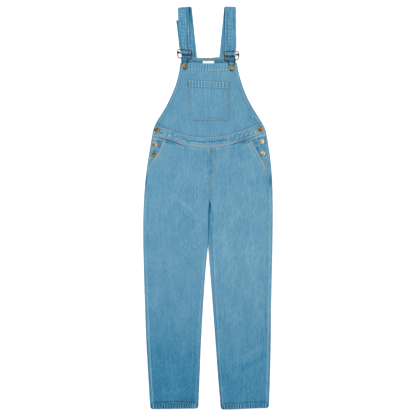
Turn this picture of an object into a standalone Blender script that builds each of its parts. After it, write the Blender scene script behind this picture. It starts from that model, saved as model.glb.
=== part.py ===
"""Denim dungarees lying flat on their back, buttoned and buckled, straps folded over to the front.

Blender units are metres, +Z up. The garment rests on z = 0 with its neck towards +Y and its hems
towards -Y. Left and right are the wearer's, so the left side lies at +X. Every size, place and
table below is in millimetres, and MM turns it into metres where a mesh is made.
"""

import math
from collections import namedtuple

import bmesh
import bpy
from mathutils import Matrix, Vector

MM = 0.001

# Cloth
SEAM = 0.3  # gap between pieces that are sewn, buttoned or laid together
CLOTH = 1.0  # one layer of denim
DOUBLE = 1.8  # two layers stitched flat: waistbands, straps, top hems
HEM_RAISE = 0.6  # how far a turned hem lifts the outer face
HEM_STEP = 2.0  # length over which the face rises to a hem

# Levels of the front layer, measured to its underside
SIDE_FOLD = 3.2  # thickness of a leg where the back wraps round its edge
SEAM_LEVEL = SIDE_FOLD - CLOTH
CROWN = 1.3  # how much further the front stands off the back inside a leg
CROWN_REACH = 30.0  # distance over which the crown rises
STRAIGHT_ROWS = 60.0  # below this the rows of the mesh lie straight across a leg
POCKET_LIFT = 1.3  # the front leg passes over the hip piece at its pocket
BIB_TOP_LEVEL = 2.6  # leaves room for the rivet plates of the bib buttons

# Heights along Y
BIB_TOP = 523.0
BIB_HEM = 26.5
WAISTBAND = 38.0
CROTCH = 29.0
HEM_BAND = 19.0
HEM_CORNER = 8.0  # radius of the rounded corners at the hem
PLACKET_INSET = 4.0  # the back shows this far round the edge beside the buttons

# Silhouette of the body at both sides
Side = namedtuple("Side", "y right left")
SIDES = [
    Side(306, -188.6, 194.8),
    Side(288, -195.1, 204.1),
    Side(266, -200.5, 210.2),
    Side(216, -208.8, 218.9),
    Side(158, -218.2, 226.4),
    Side(86, -226.8, 231.5),
    Side(-14, -232.6, 233.3),
    Side(-130, -233.3, 232.2),
    Side(-245, -230.4, 229.7),
    Side(-360, -226.8, 227.2),
    Side(-475, -222.5, 226.1),
    Side(-590, -216.0, 223.6),
    Side(-706, -208.8, 219.6),
    Side(-727, -206.8, 218.5),
]

# Inner edge of each leg, and how far inside its edges the two long seams lie on the front
Leg = namedtuple("Leg", "y right left right_inseam left_inseam right_outseam left_outseam")
LEGS = [
    Leg(118, 5.5, 6.5, 3.0, 3.5, 9.5, 9.5),
    Leg(29, 5.5, 6.5, 3.0, 3.5, 9.5, 10.0),
    Leg(-14, 2.5, 3.4, 3.0, 6.0, 9.5, 10.5),
    Leg(-72, 1.8, 2.7, 3.2, 8.5, 9.0, 11.0),
    Leg(-130, -0.4, 1.4, 3.6, 12.5, 9.0, 11.0),
    Leg(-187, -5.8, 4.3, 4.2, 13.5, 9.0, 11.0),
    Leg(-245, -10.8, 9.0, 5.0, 11.0, 9.0, 11.0),
    Leg(-360, -18.7, 18.0, 6.5, 8.5, 9.0, 11.0),
    Leg(-475, -25.2, 26.6, 6.5, 6.5, 8.6, 9.5),
    Leg(-590, -29.9, 34.9, 6.8, 5.0, 8.2, 8.5),
    Leg(-727, -35.6, 46.4, 6.8, 4.5, 8.0, 7.5),
]

# Centre seams of the front and the back
Centre = namedtuple("Centre", "y front back")
CENTRES = [
    Centre(300, -0.4, 0.0),
    Centre(217, -0.4, 0.5),
    Centre(104, 1.4, 2.5),
    Centre(62, 5.0, 5.0),
    Centre(29, 6.0, 6.0),
]

# Slanted edge of each front pocket, from the waistband down to the side
Pocket = namedtuple("Pocket", "down right left")
POCKETS = [
    Pocket(0.0, -160.6, 153.1),
    Pocket(0.3, -169.8, 172.6),
    Pocket(0.6, -182.0, 191.9),
    Pocket(0.83, -195.6, 206.7),
    Pocket(1.0, -207.0, 217.4),
]
POCKET_TOP = {"right": 249.0, "left": 252.0}
POCKET_END = {"right": 163.5, "left": 133.5}
HIP_UNDERLAP = 26.0  # the hip piece runs this far on under the pocket edge

# Upper edge of the waistbands
Band = namedtuple("Band", "x front back")
BANDS = [
    Band(-205, 298.0, 297.0),
    Band(-175, 292.0, 294.5),
    Band(-138, 282.6, 292.0),
    Band(-84, 263.5, 289.0),
    Band(-20, 255.4, 288.0),
    Band(45, 258.5, 289.0),
    Band(108, 274.7, 294.0),
    Band(170, 297.4, 301.0),
    Band(210, 310.0, 306.0),
]

# Upper edge of the back
Neck = namedtuple("Neck", "x y")
NECKS = [
    Neck(-97, 549.0),
    Neck(-60, 543.5),
    Neck(0, 541.0),
    Neck(60, 542.0),
    Neck(99, 544.5),
]

# Outline of the bib
Bib = namedtuple("Bib", "y right left")
BIBS = [
    Bib(545, -98.4, 101.3),
    Bib(523, -99.7, 103.3),
    Bib(490, -104.0, 109.4),
    Bib(446, -115.2, 122.0),
    Bib(403, -132.5, 138.6),
    Bib(360, -154.1, 161.3),
    Bib(317, -181.1, 188.3),
    Bib(290, -195.0, 203.5),
]
BIB_NECK_DIP = 2.5  # the top edge of the bib sags by this much at its middle
BACK_INSET = 3.0  # the back is this much narrower, so that the bib hides it
BACK_HEM = 18.0

# Levels of the bib's underside down its length
BibLevel = namedtuple("BibLevel", "y level")
BIB_LEVELS = [
    BibLevel(545, BIB_TOP_LEVEL),
    BibLevel(490, BIB_TOP_LEVEL - 0.1),
    BibLevel(450, 1.9),
    BibLevel(380, 1.8),
    BibLevel(320, 2.3),
    BibLevel(255, 3.1),
]

# Patch pocket on the bib
PATCH_CENTRE = 2.6
PATCH_TOP = 456.0
PATCH_BOTTOM = 316.0
PATCH_WIDTH = 145.0
PATCH_CORNER = 24.0
PATCH_HEM = 22.0

# Neck label inside the back
LABEL_WIDTH = 41.0
LABEL_HEIGHT = 10.2
LABEL_CENTRE = 1.6
LABEL_TOP = 531.6

# Fly: the facing under the left front lifts its face beside the centre seam
FLY_WIDTH = 32.0
FLY_END = 104.0
FLY_RAISE = 0.5

# Largest folds of the front, as soft ridges and troughs along straight lines
Fold = namedtuple("Fold", "x0 y0 x1 y1 height width")
FOLDS = [
    Fold(-120, 40, -58, -38, 0.8, 13),
    Fold(-100, -8, -48, -66, -0.6, 10),
    Fold(-40, -30, -22, -160, 0.5, 12),
    Fold(112, -20, 46, -112, 0.9, 15),
    Fold(66, 6, 26, -78, -0.5, 9),
    Fold(150, -150, 186, -330, 0.6, 16),
    Fold(-176, -190, -190, -360, 0.6, 16),
    Fold(-70, -300, -96, -520, 0.6, 18),
    Fold(96, -380, 120, -600, 0.7, 18),
    Fold(-150, -560, -120, -660, 0.5, 15),
    Fold(170, -520, 150, -640, 0.5, 14),
    Fold(-112, 330, -150, 300, 0.5, 9),
    Fold(120, 340, 160, 306, 0.6, 10),
    Fold(40, 250, 60, 200, 0.3, 10),
]

# Straps: centre of each stretch from the back over the top down to the buckle, and of the tail
STRAP_WIDTH = 38.0
BUCKLE_BEND = 34.0  # a strap bends towards its buckle from this far above the bar
Strap = namedtuple(
    "Strap", "back_low back_high front_high front_mid front_low tail_high tail_end top top_skew"
)
STRAPS = {
    "right": Strap(-59.6, -79.3, -87.4, -84.6, -80.5, -93.4, 676.0, 723.8, 0.085),
    "left": Strap(59.8, 77.4, 80.6, 82.4, 80.6, 81.5, 672.0, 725.2, -0.01),
}
BACK_LAYER = 0.0
TAIL_LAYER = BACK_LAYER + DOUBLE + SEAM
FRONT_LAYER = TAIL_LAYER + DOUBLE + SEAM

# Buckles: a bent wire with a loop that hangs on the bib button, and a bar that holds the strap
WIRE = 1.4  # radius
BAR = 1.2  # radius
COLLAR = 1.0  # wall of the bar's eyes round the wire
FRAME_HALF = 26.0
FRAME_TOP = 11.5
FRAME_FOOT = -17.0
FRAME_CORNER = 5.0
LOOP_HALF = 11.2
SLOT_HALF = 4.7
SLOT_END = -59.5
BUTTON_IN_SLOT = 10.5  # from the end of the slot up to the middle of the button
Buckle = namedtuple("Buckle", "x y turn")
BUCKLES = {
    "right": Buckle(-83.4, 559.2, -2.5),
    "left": Buckle(84.6, 553.2, 1.5),
}
# Height of the wire's centre along the buckle, which leans from the strap down to the bib
Lean = namedtuple("Lean", "v z")
LEANS = [
    Lean(FRAME_TOP, FRONT_LAYER + DOUBLE + SEAM + WIRE),
    Lean(0.0, FRONT_LAYER + BAR),
    Lean(FRAME_FOOT, 4.0),
    Lean(-29.0, 6.2),
    Lean(SLOT_END, 6.1),
]

# Tack buttons
BUTTON_RADIUS = 8.5
BUTTON_DOME = 3.0
SHANK = 2.9  # radius
RIVET = 4.6  # radius of the plate behind the bib
Button = namedtuple("Button", "name x y")
SIDE_BUTTONS = [
    Button("waist_right", -184.0, 280.8),
    Button("upper_right", -190.6, 228.9),
    Button("lower_right", -196.4, 192.4),
    Button("waist_left", 188.6, 284.4),
    Button("upper_left", 194.4, 239.5),
    Button("lower_left", 198.0, 195.8),
]
BUTTONHOLE = 12.4  # length of the slit towards the middle
SLIT = 1.2

# Fineness of the meshes
LEG_COLUMNS = 10
BIB_COLUMNS = 20
BAND_COLUMNS = 24
LEG_ROW = 58.0  # longest step along a leg
ARC_STEPS = 3  # round the folded edge of a leg
WIRE_STEP = 3.4  # round a bend of the wire
LONG_WIRE_STEP = 5.5  # along its straight stretches, which lean
BUTTON_SIDES = 16


def smooth(start, end, value):
    """0 before start, 1 after end, and a soft step between them."""
    share = min(1.0, max(0.0, (value - start) / (end - start)))
    return share * share * (3 - 2 * share)


def blend(a, b, share):
    return a + (b - a) * share


def read(table, column, at):
    """The named column of a table where its first column has this value, on a smooth curve."""
    rows = sorted((row[0], getattr(row, column)) for row in table)
    if at <= rows[0][0]:
        return rows[0][1]
    if at >= rows[-1][0]:
        return rows[-1][1]
    high = next(i for i, row in enumerate(rows) if row[0] > at)
    low = high - 1
    gap = rows[high][0] - rows[low][0]
    share = (at - rows[low][0]) / gap

    def slope(i):
        a, b = rows[max(0, i - 1)], rows[min(len(rows) - 1, i + 1)]
        return (b[1] - a[1]) / (b[0] - a[0])

    s2, s3 = share**2, share**3
    return (
        (2 * s3 - 3 * s2 + 1) * rows[low][1]
        + (s3 - 2 * s2 + share) * gap * slope(low)
        + (3 * s2 - 2 * s3) * rows[high][1]
        + (s3 - s2) * gap * slope(high)
    )


def steps(start, end, longest):
    """Values from start to end, evenly spaced, no further apart than this."""
    count = max(1, math.ceil(abs(end - start) / longest))
    return [blend(start, end, i / count) for i in range(count + 1)]


def outward(side):
    """+1 on the wearer's left, which lies at +X, and -1 on the right."""
    return 1 if side == "left" else -1


# Outlines


def hem_line(side, x):
    """Lowest edge of a leg: the right hem lies square, the left one rises towards its outside."""
    return -723.0 if side == "right" else -725.4 + 6.5 * smooth(60, 205, x)


def hem_inset(side, x, y):
    """How far the rounded corner of the hem draws the edge in."""
    above = min(HEM_CORNER, max(0.0, y - hem_line(side, x)))
    return HEM_CORNER - math.sqrt(HEM_CORNER**2 - (HEM_CORNER - above) ** 2)


def outer_edge(side, y):
    x = read(SIDES, side, y)
    return x - outward(side) * hem_inset(side, x, y)


def inner_edge(side, y):
    x = read(LEGS, side, y)
    return x + outward(side) * hem_inset(side, x, y)


def pocket_edge(side, y):
    top, end = POCKET_TOP[side], POCKET_END[side]
    return read(POCKETS, side, (top - y) / (top - end))


def outseam(side, y):
    return outer_edge(side, y) - outward(side) * read(LEGS, side + "_outseam", y)


def inseam(side, y):
    """Seam on the inner side of the leg, which reaches its place on the front below the crotch."""
    arrived = smooth(CROTCH, CROTCH - 14, y)
    return inner_edge(side, y) + outward(side) * blend(0.3, read(LEGS, side + "_inseam", y), arrived)


def front_inner(side, y):
    """Inner border of a front leg: the centre seam, then the inseam."""
    if y > CROTCH:
        return read(CENTRES, "front", y) + outward(side) * SEAM / 2
    return inseam(side, y) + outward(side) * SEAM / 2


def front_outer(side, y):
    """Outer border of a front leg: the pocket edge, then the outseam."""
    if y > POCKET_END[side]:
        return pocket_edge(side, y)
    return outseam(side, y) - outward(side) * SEAM / 2


def bib_edge(side, y):
    return read(BIBS, side, y)


def bib_neck(x):
    return BIB_TOP - BIB_NECK_DIP * (1 - (x / 100) ** 2)


def back_neck(x):
    return read(NECKS, "y", x)


# Levels of the front layer


def folds_at(x, y):
    """Height that the folds add at this place."""
    total = 0.0
    for fold in FOLDS:
        along_x, along_y = fold.x1 - fold.x0, fold.y1 - fold.y0
        length2 = along_x**2 + along_y**2
        share = ((x - fold.x0) * along_x + (y - fold.y0) * along_y) / length2
        near = min(1.0, max(0.0, share))
        away = math.hypot(x - fold.x0 - near * along_x, y - fold.y0 - near * along_y)
        total += fold.height * math.exp(-((away / fold.width) ** 2))
    return total


def pocket_lift(side, x, y):
    """Rise of the front where it passes over the hip piece."""
    inside = outward(side) * (pocket_edge(side, y) - x)
    end = POCKET_END[side]
    return POCKET_LIFT * (1 - smooth(HIP_UNDERLAP + 3, HIP_UNDERLAP + 42, inside)) * smooth(end - 60, end, y)


def front_level(side, x, y):
    """Underside of the front leg above the floor."""
    from_outside = abs(x - outer_edge(side, y))
    from_inside = math.hypot(x - inner_edge(side, y), max(0.0, y - CROTCH))
    rise = (1 - math.exp(-from_outside / CROWN_REACH)) * (1 - math.exp(-from_inside / CROWN_REACH))
    fading = 1 - math.exp(-min(from_outside, from_inside) / 12)
    return SEAM_LEVEL + CROWN * rise + folds_at(x, y) * fading + pocket_lift(side, x, y)


def band_level(x, y):
    """Underside of the front waistband, which comes down onto the back one at its ends."""
    side = "left" if x > 0 else "right"
    corner = abs(pocket_edge(side, POCKET_TOP[side]))
    end = smooth(corner, corner + 45, abs(x))
    return front_level(side, x, y) - 0.4 - end


def bib_level(x, y):
    """Underside of the bib."""
    side = "left" if x > 0 else "right"
    edge = smooth(0, 25, abs(bib_edge(side, y) - x))
    return read(BIB_LEVELS, "level", y) - 0.3 * (1 - edge) + folds_at(x, y) * edge


# Building meshes


def material(name, colour, roughness, metallic=0.0):
    made = bpy.data.materials.new(name)
    made.use_nodes = True
    shader = made.node_tree.nodes["Principled BSDF"]
    shader.inputs["Base Color"].default_value = (*colour, 1.0)
    shader.inputs["Roughness"].default_value = roughness
    shader.inputs["Metallic"].default_value = metallic
    return made


def add(name, mesh, look):
    piece = bpy.data.objects.new(name, mesh)
    mesh.materials.append(look)
    bpy.context.scene.collection.objects.link(piece)
    return piece


def wall(name, outer, inner, look):
    """A closed wall between two grids of points with the same rows and columns."""
    rows, columns = len(outer), len(outer[0])
    inside = rows * columns
    points = [p for grid in (outer, inner) for row in grid for p in row]

    def at(i, j):
        return i * columns + j

    faces = []
    for i in range(rows - 1):
        for j in range(columns - 1):
            quad = (at(i, j), at(i, j + 1), at(i + 1, j + 1), at(i + 1, j))
            faces.append(quad)
            faces.append(tuple(inside + k for k in reversed(quad)))
    border = [at(0, j) for j in range(columns)]
    border += [at(i, columns - 1) for i in range(1, rows)]
    border += [at(rows - 1, j) for j in range(columns - 2, -1, -1)]
    border += [at(i, 0) for i in range(rows - 2, 0, -1)]
    for a, b in zip(border, border[1:] + border[:1]):
        faces.append((b, a, inside + a, inside + b))
    mesh = bpy.data.meshes.new(name)
    mesh.from_pydata([Vector(p) * MM for p in points], [], faces)
    tidy = bmesh.new()
    tidy.from_mesh(mesh)
    bmesh.ops.recalc_face_normals(tidy, faces=tidy.faces)
    tidy.to_mesh(mesh)
    tidy.free()
    mesh.shade_smooth()
    mesh.set_sharp_from_angle(angle=math.radians(40))
    return add(name, mesh, look)


def sheet(name, plan, level, thickness, look, raised=None):
    """A wall over a plan of (x, y) points: its underside at level, its face raised where asked."""
    under = [[(x, y, level(x, y)) for x, y in row] for row in plan]
    face = [
        [(x, y, z + thickness + (raised(x, y) if raised else 0.0)) for x, y, z in row]
        for row in under
    ]
    return wall(name, face, under, look)


def leg_levels(side, band):
    """Rows of a leg from the waistband to the hem, named by their height at the side of the body.

    They are closer at the end of the pocket, at the crotch and at the hem.
    """
    edge = outer_edge(side, 262)
    top, hem = read(BANDS, band, edge) - WAISTBAND - SEAM, hem_line(side, edge)
    rows = steps(top, POCKET_END[side] + 1.2, 22)
    rows += steps(POCKET_END[side] - 1.2, CROTCH + 7, 30)
    rows += [CROTCH + k for k in (3.5, 0, -2.5, -5, -7.5, -11)]
    rows += steps(CROTCH - 15, hem + HEM_BAND + HEM_STEP, LEG_ROW)
    rows += [hem + HEM_BAND] + [hem + HEM_CORNER * k for k in (1, 0.36, 0.1, 0)]
    return rows


def row_y(side, level, x, band):
    """Height of a row at x. Rows follow the waistband at the top and the hem at the bottom."""
    edge = outer_edge(side, 262)
    to_band = read(BANDS, band, x) - read(BANDS, band, edge)
    to_hem = hem_line(side, x) - hem_line(side, edge)
    return level + to_band * smooth(STRAIGHT_ROWS, 262, level) + to_hem * smooth(-500, -720, level)


def meet(side, level, border, band):
    """Where a row meets a border that is given as a function of y: (x, y)."""
    y = level
    for _ in range(12):
        x = border(side, y)
        y = row_y(side, level, x, band)
    return x, y


def leg_plan(side, levels, inner, outer, columns):
    """Plan of a front piece of a leg between two borders."""
    plan = []
    for level in levels:
        x_in, x_out = meet(side, level, inner, "front")[0], meet(side, level, outer, "front")[0]
        row = [blend(x_in, x_out, j / columns) for j in range(columns + 1)]
        plan.append([(x, row_y(side, level, x, "front")) for x in row])
    return plan


def front_leg(side, look):
    """Front of one leg between its seams, cut away along the slanted pocket."""
    plan = leg_plan(side, leg_levels(side, "front"), front_inner, front_outer, LEG_COLUMNS)

    def raised(x, y):
        hem = HEM_RAISE * (1 - smooth(HEM_BAND, HEM_BAND + HEM_STEP, y - hem_line(side, x)))
        from_centre = x - read(CENTRES, "front", y)
        beside = 1 - smooth(FLY_WIDTH, FLY_WIDTH + 3, from_centre)
        fly = FLY_RAISE * beside * smooth(FLY_END, FLY_END + 14, y) * (side == "left")
        return hem + fly

    return sheet(f"leg_front_{side}", plan, lambda x, y: front_level(side, x, y), CLOTH, look, raised)


def hip_piece(side, look):
    """Cloth behind the slanted pocket, with the buttonholes: from under the front to the side."""
    out = outward(side)

    def inner(side, y):
        return pocket_edge(side, y) - out * HIP_UNDERLAP

    def outer(side, y):
        return outer_edge(side, y) - out * (PLACKET_INSET + SEAM)

    levels = [level for level in leg_levels(side, "front") if level > POCKET_END[side] + 2]
    plan = leg_plan(side, levels + [POCKET_END[side] + 1.6], inner, outer, 5)

    def level_at(x, y):
        return front_level(side, x, y) - CLOTH - SEAM

    return sheet(f"hip_{side}", plan, level_at, CLOTH, look)


def back_section(side, level):
    """Middle of the back of a leg at one row, as (x, angle round a fold, which fold).

    It runs over the top of the outer edge, round it, along the floor and, below the crotch, round
    the inner edge and back over the top to the inseam. At the crotch it ends part of the way
    round, where the centre seam climbs from the floor to the front.
    """
    out, radius = outward(side), SIDE_FOLD / 2
    edge = outer_edge(side, level)
    placket = level > POCKET_END[side]
    inset = PLACKET_INSET if placket else read(LEGS, side + "_outseam", level)
    path = [(edge - out * inset, 90.0, 0)]
    path += [(edge - out * radius, 90 - 180 * k / ARC_STEPS, 1) for k in range(ARC_STEPS + 1)]
    inner, low = meet(side, level, inner_edge, "back")
    covered = abs(inseam(side, low) - inner) - SEAM / 2
    turned = 90 * smooth(CROTCH + 8, CROTCH, level)
    if level < CROTCH:
        turned += math.degrees(math.atan2(radius - CLOTH, max(0.0, radius - covered)))
    if turned:
        last = inner + out * radius
    else:
        last = meet(side, level, lambda _, y: read(CENTRES, "back", y) + out * SEAM / 2, "back")[0]
    path += [(blend(edge - out * radius, last, k / 5), -90.0, 0) for k in range(1, 5)]
    path += [(last, -90 - turned * k / ARC_STEPS, -1) for k in range(ARC_STEPS + 1)]
    tip = last + out * max(0.0, covered - radius) if turned == 180 else last
    path.append((tip, -90 - turned, 0 if turned == 180 else -1))
    return path


def back_leg(side, look):
    """Back of one leg, lying on the floor and wrapped round the edges to the seams on the front."""
    out, radius = outward(side), SIDE_FOLD / 2
    outer, inner = [], []
    for level in leg_levels(side, "back"):
        for row, r in ((outer, radius), (inner, radius - CLOTH)):
            row.append([])
            for x, angle, fold in back_section(side, level):
                turn = math.radians(angle)
                at = x + out * abs(fold) * r * math.cos(turn)
                row[-1].append((at, row_y(side, level, x, "back"), radius + r * math.sin(turn)))
    return wall(f"leg_back_{side}", outer, inner, look)


def waistband(name, band, level, ends_inset, look):
    """Curved band across the body, from side to side."""
    plan = []
    for down in steps(0, WAISTBAND, 9.5):
        row = []
        for share in steps(0, 1, 1 / BAND_COLUMNS):
            y = 290 - down
            for _ in range(8):
                low = outer_edge("right", y) + ends_inset
                high = outer_edge("left", y) - ends_inset
                x = blend(low, high, share)
                y = read(BANDS, band, x) - down
            row.append((x, y))
        plan.append(row)
    return sheet(name, plan, level, DOUBLE, look)


def bib_plan(rows, top, bottom, inset):
    """Plan of a bib between its curved sides, its top edge and its bottom edge, functions of x."""
    plan = []
    for share in rows:
        row = []
        for across in steps(0, 1, 1 / BIB_COLUMNS):
            y = blend(BIB_TOP, 280, share)
            for _ in range(8):
                low, high = bib_edge("right", y) + inset, bib_edge("left", y) - inset
                x = blend(low, high, across)
                y = blend(top(x), bottom(x), share)
            row.append((x, y))
        plan.append(row)
    return plan


def bib_front(look):
    def bottom(x):
        return read(BANDS, "front", x) + SEAM

    deep = BIB_TOP - 260
    hem = BIB_HEM / deep
    rows = [0, hem, hem + HEM_STEP / deep] + steps(hem + 0.12, 1, 0.13)

    def raised(x, y):
        return (DOUBLE - CLOTH) * smooth(BIB_TOP - BIB_HEM - HEM_STEP, BIB_TOP - BIB_HEM, y)

    plan = bib_plan(rows, bib_neck, bottom, 0)
    return sheet("bib_front", plan, bib_level, CLOTH, look, raised)


def bib_back(look):
    def bottom(x):
        return read(BANDS, "back", x) + SEAM

    hem = BACK_HEM / (back_neck(0) - 290)
    rows = [0, hem, hem + 0.012] + steps(hem + 0.15, 1, 0.2)

    def raised(x, y):
        below = back_neck(x) - y
        return (DOUBLE - CLOTH) * (1 - smooth(BACK_HEM + 0.5, BACK_HEM + HEM_STEP, below))

    plan = bib_plan(rows, back_neck, bottom, BACK_INSET)
    return sheet("bib_back", plan, lambda x, y: 0.0, CLOTH, look, raised)


def patch_pocket(look):
    """Square pocket with rounded lower corners, laid on the bib."""
    deep = PATCH_TOP - PATCH_BOTTOM
    hem = PATCH_HEM
    downs = [0, hem * 0.5, hem, hem + HEM_STEP] + steps(hem + 18, deep - PATCH_CORNER, 22)
    downs += [deep - PATCH_CORNER * (1 - math.sin(math.radians(a))) for a in (30, 60, 90)]
    plan = []
    for down in downs:
        into_corner = max(0.0, down - (deep - PATCH_CORNER))
        half = PATCH_WIDTH / 2 - (PATCH_CORNER - math.sqrt(PATCH_CORNER**2 - into_corner**2))
        row = [PATCH_CENTRE + half * k / 5 for k in range(-5, 6)]
        plan.append([(x, PATCH_TOP - 0.02 * (x - PATCH_CENTRE) - down) for x in row])

    def level(x, y):
        return bib_level(x, y) + CLOTH + SEAM

    def raised(x, y):
        return HEM_RAISE * smooth(PATCH_TOP - hem - HEM_STEP, PATCH_TOP - hem, y)

    return sheet("bib_pocket", plan, level, CLOTH, look, raised)


def neck_label(look):
    half = LABEL_WIDTH / 2
    plan = [
        [(LABEL_CENTRE + half * k / 2, LABEL_TOP - down) for k in range(-2, 3)]
        for down in (0, LABEL_HEIGHT / 2, LABEL_HEIGHT)
    ]
    return sheet("neck_label", plan, lambda x, y: DOUBLE + SEAM, CLOTH, look)


def strap_path(side):
    """Middle line of a strap as (centre x, y, z, skew); skew turns it square to what it rounds."""
    strap, buckle = STRAPS[side], BUCKLES[side]
    half = DOUBLE / 2
    low, high, tail = BACK_LAYER + half, FRONT_LAYER + half, TAIL_LAYER + half
    over_bar = FRONT_LAYER + 2 * BAR + SEAM + half
    roll, around = (high - low) / 2, (over_bar - tail) / 2
    neck, top = back_neck(strap.back_low), strap.top - roll - half
    square = math.tan(math.radians(buckle.turn))

    def skew(y):
        at_fold = strap.top_skew * smooth(top - 70, top, y)
        return at_fold + square * smooth(buckle.y + 70, buckle.y + 20, y)

    path = []
    for y in steps(neck, top, 30)[1:]:
        x = blend(strap.back_low, strap.back_high, (y - neck) / (top - neck))
        path.append((x, y, low, strap.top_skew * smooth(top - 70, top, y)))
    for k in range(1, 9):
        turn = math.radians(-90 + 180 * k / 8)
        x = blend(strap.back_high, strap.front_high, smooth(0, 8, k))
        y, z = top + roll * math.cos(turn), low + roll + roll * math.sin(turn)
        path.append((x, y, z, strap.top_skew))
    for y in steps(top - 8, buckle.y + 24, 26) + steps(buckle.y + 19, buckle.y, 4):
        x = blend(strap.front_high, strap.front_mid, (top - y) / (top - buckle.y))
        x += (strap.front_low - strap.front_mid) * smooth(buckle.y + BUCKLE_BEND, buckle.y, y)
        z = blend(high, over_bar, smooth(buckle.y + 11, buckle.y + 2, y))
        path.append((x, y, z, skew(y)))
    for k in range(1, 9):
        turn = math.radians(90 + 180 * k / 8)
        y, z = buckle.y + around * math.cos(turn), tail + around + around * math.sin(turn)
        path.append((strap.front_low, y, z, square))
    for y in steps(buckle.y + 8, strap.tail_end, 26):
        x = blend(strap.front_low, strap.tail_high, (y - buckle.y) / (strap.tail_end - buckle.y))
        path.append((x, y, tail, skew(y)))
    return path


def strap(side, look):
    """One strap: up the back, rolled over the top, down through the buckle and back up behind."""
    half, first = DOUBLE / 2, STRAPS[side].back_low
    across = [STRAP_WIDTH * k / 2 for k in (-1, 0, 1)]
    face, back = [], []
    for height, row in ((BACK_LAYER, back), (BACK_LAYER + DOUBLE, face)):
        row.append([(first + u, back_neck(first + u) + SEAM, height) for u in across])
    path = strap_path(side)
    for i, (x, y, z, skew) in enumerate(path):
        before, after = path[max(0, i - 1)], path[min(len(path) - 1, i + 1)]
        along = Vector((after[1] - before[1], after[2] - before[2])).normalized()
        out_y, out_z = -along.y * half, along.x * half
        face.append([(x + u, y + skew * u + out_y, z + out_z) for u in across])
        back.append([(x + u, y + skew * u - out_y, z - out_z) for u in across])
    return wall(f"strap_{side}", face, back, look)


def rounded(corners):
    """Points of a line through corners given as (u, v, radius), each corner an arc."""
    line = [Vector(corners[0][:2])]
    for before, corner, after in zip(corners, corners[1:], corners[2:]):
        at, radius = Vector(corner[:2]), corner[2]
        a, b = (Vector(before[:2]) - at).normalized(), (Vector(after[:2]) - at).normalized()
        half_angle = a.angle(b) / 2
        reach = radius / math.tan(half_angle)
        centre = at + (a + b).normalized() * radius / math.sin(half_angle)
        start, end = at + a * reach - centre, at + b * reach - centre
        turn = start.angle_signed(end)
        count = max(2, math.ceil(abs(turn) * radius / WIRE_STEP) + 1)
        for k in range(count + 1):
            line.append(centre + Matrix.Rotation(-turn * k / count, 2) @ start)
    line.append(Vector(corners[-1][:2]))
    return line


def buckle_place(side, u, v):
    """Where a point of the buckle's own plane lies, in millimetres."""
    buckle = BUCKLES[side]
    turned = Matrix.Rotation(math.radians(buckle.turn), 2) @ Vector((u, v))
    return Vector((buckle.x + turned.x, buckle.y + turned.y, read(LEANS, "z", v)))


def buckle_wire(side, look):
    """Bent wire: a frame whose lower side dips into the loop and slot for the button."""
    top, foot, half = FRAME_TOP, FRAME_FOOT, FRAME_HALF
    right_half = [
        (0, top, 0),
        (half, top, FRAME_CORNER),
        (half, foot, FRAME_CORNER),
        (LOOP_HALF, foot, 2.6),
        (LOOP_HALF + 0.2, foot - 13, 9),
        (SLOT_HALF, SLOT_END + 16, 7),
        (SLOT_HALF, SLOT_END, SLOT_HALF - 0.05),
        (0, SLOT_END, 0),
    ]
    line = rounded(right_half)
    line += [Vector((-p.x, p.y)) for p in reversed(line[1:-1])]
    curve = bpy.data.curves.new(f"buckle_wire_{side}", "CURVE")
    curve.dimensions = "3D"
    curve.bevel_depth = WIRE * MM
    curve.bevel_resolution = 2
    spline = curve.splines.new("POLY")
    points = []
    for start, end in zip(line, line[1:] + line[:1]):
        count = max(1, round((end - start).length / LONG_WIRE_STEP))
        points += [blend(start, end, k / count) for k in range(count)]
    spline.points.add(len(points) - 1)
    for target, point in zip(spline.points, points):
        target.co = (*(buckle_place(side, *point) * MM), 1.0)
    spline.use_cyclic_u = True
    return add(f"buckle_wire_{side}", curve, look)


def rod(name, start, end, radius, sides=12):
    """A cylinder between two points."""
    along = end - start
    mesh = bpy.data.meshes.new(name)
    made = bmesh.new()
    bmesh.ops.create_cone(
        made, cap_ends=True, segments=sides, radius1=radius * MM, radius2=radius * MM, depth=along.length * MM
    )
    turn = along.to_track_quat("Z", "Y").to_matrix().to_4x4()
    bmesh.ops.transform(made, matrix=Matrix.Translation((start + end) / 2 * MM) @ turn, verts=made.verts)
    made.to_mesh(mesh)
    made.free()
    return mesh


def combine(piece, other, operation):
    """Joins or cuts piece with a helper that isn't part of the garment."""
    other.hide_render = True
    other.display_type = "WIRE"
    boolean = piece.modifiers.new(other.name, "BOOLEAN")
    boolean.operation = operation
    boolean.object = other


def buckle_bar(side, look):
    """Bar across the buckle, with an eye round the wire at each end."""
    bar = add(
        f"buckle_bar_{side}",
        rod("bar", buckle_place(side, -FRAME_HALF + 2, 0), buckle_place(side, FRAME_HALF - 2, 0), BAR),
        look,
    )
    for end in (-1, 1):
        low, high = buckle_place(side, end * FRAME_HALF, -3), buckle_place(side, end * FRAME_HALF, 3)
        eye = add(f"eye_{side}_{end}", rod("eye", low, high, WIRE + SEAM + COLLAR), look)
        combine(bar, eye, "UNION")
    for end in (-1, 1):
        low, high = buckle_place(side, end * FRAME_HALF, -5), buckle_place(side, end * FRAME_HALF, 5)
        bore = add(f"bore_{side}_{end}", rod("bore", low, high, WIRE + SEAM), look)
        combine(bar, bore, "DIFFERENCE")
    return bar


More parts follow.
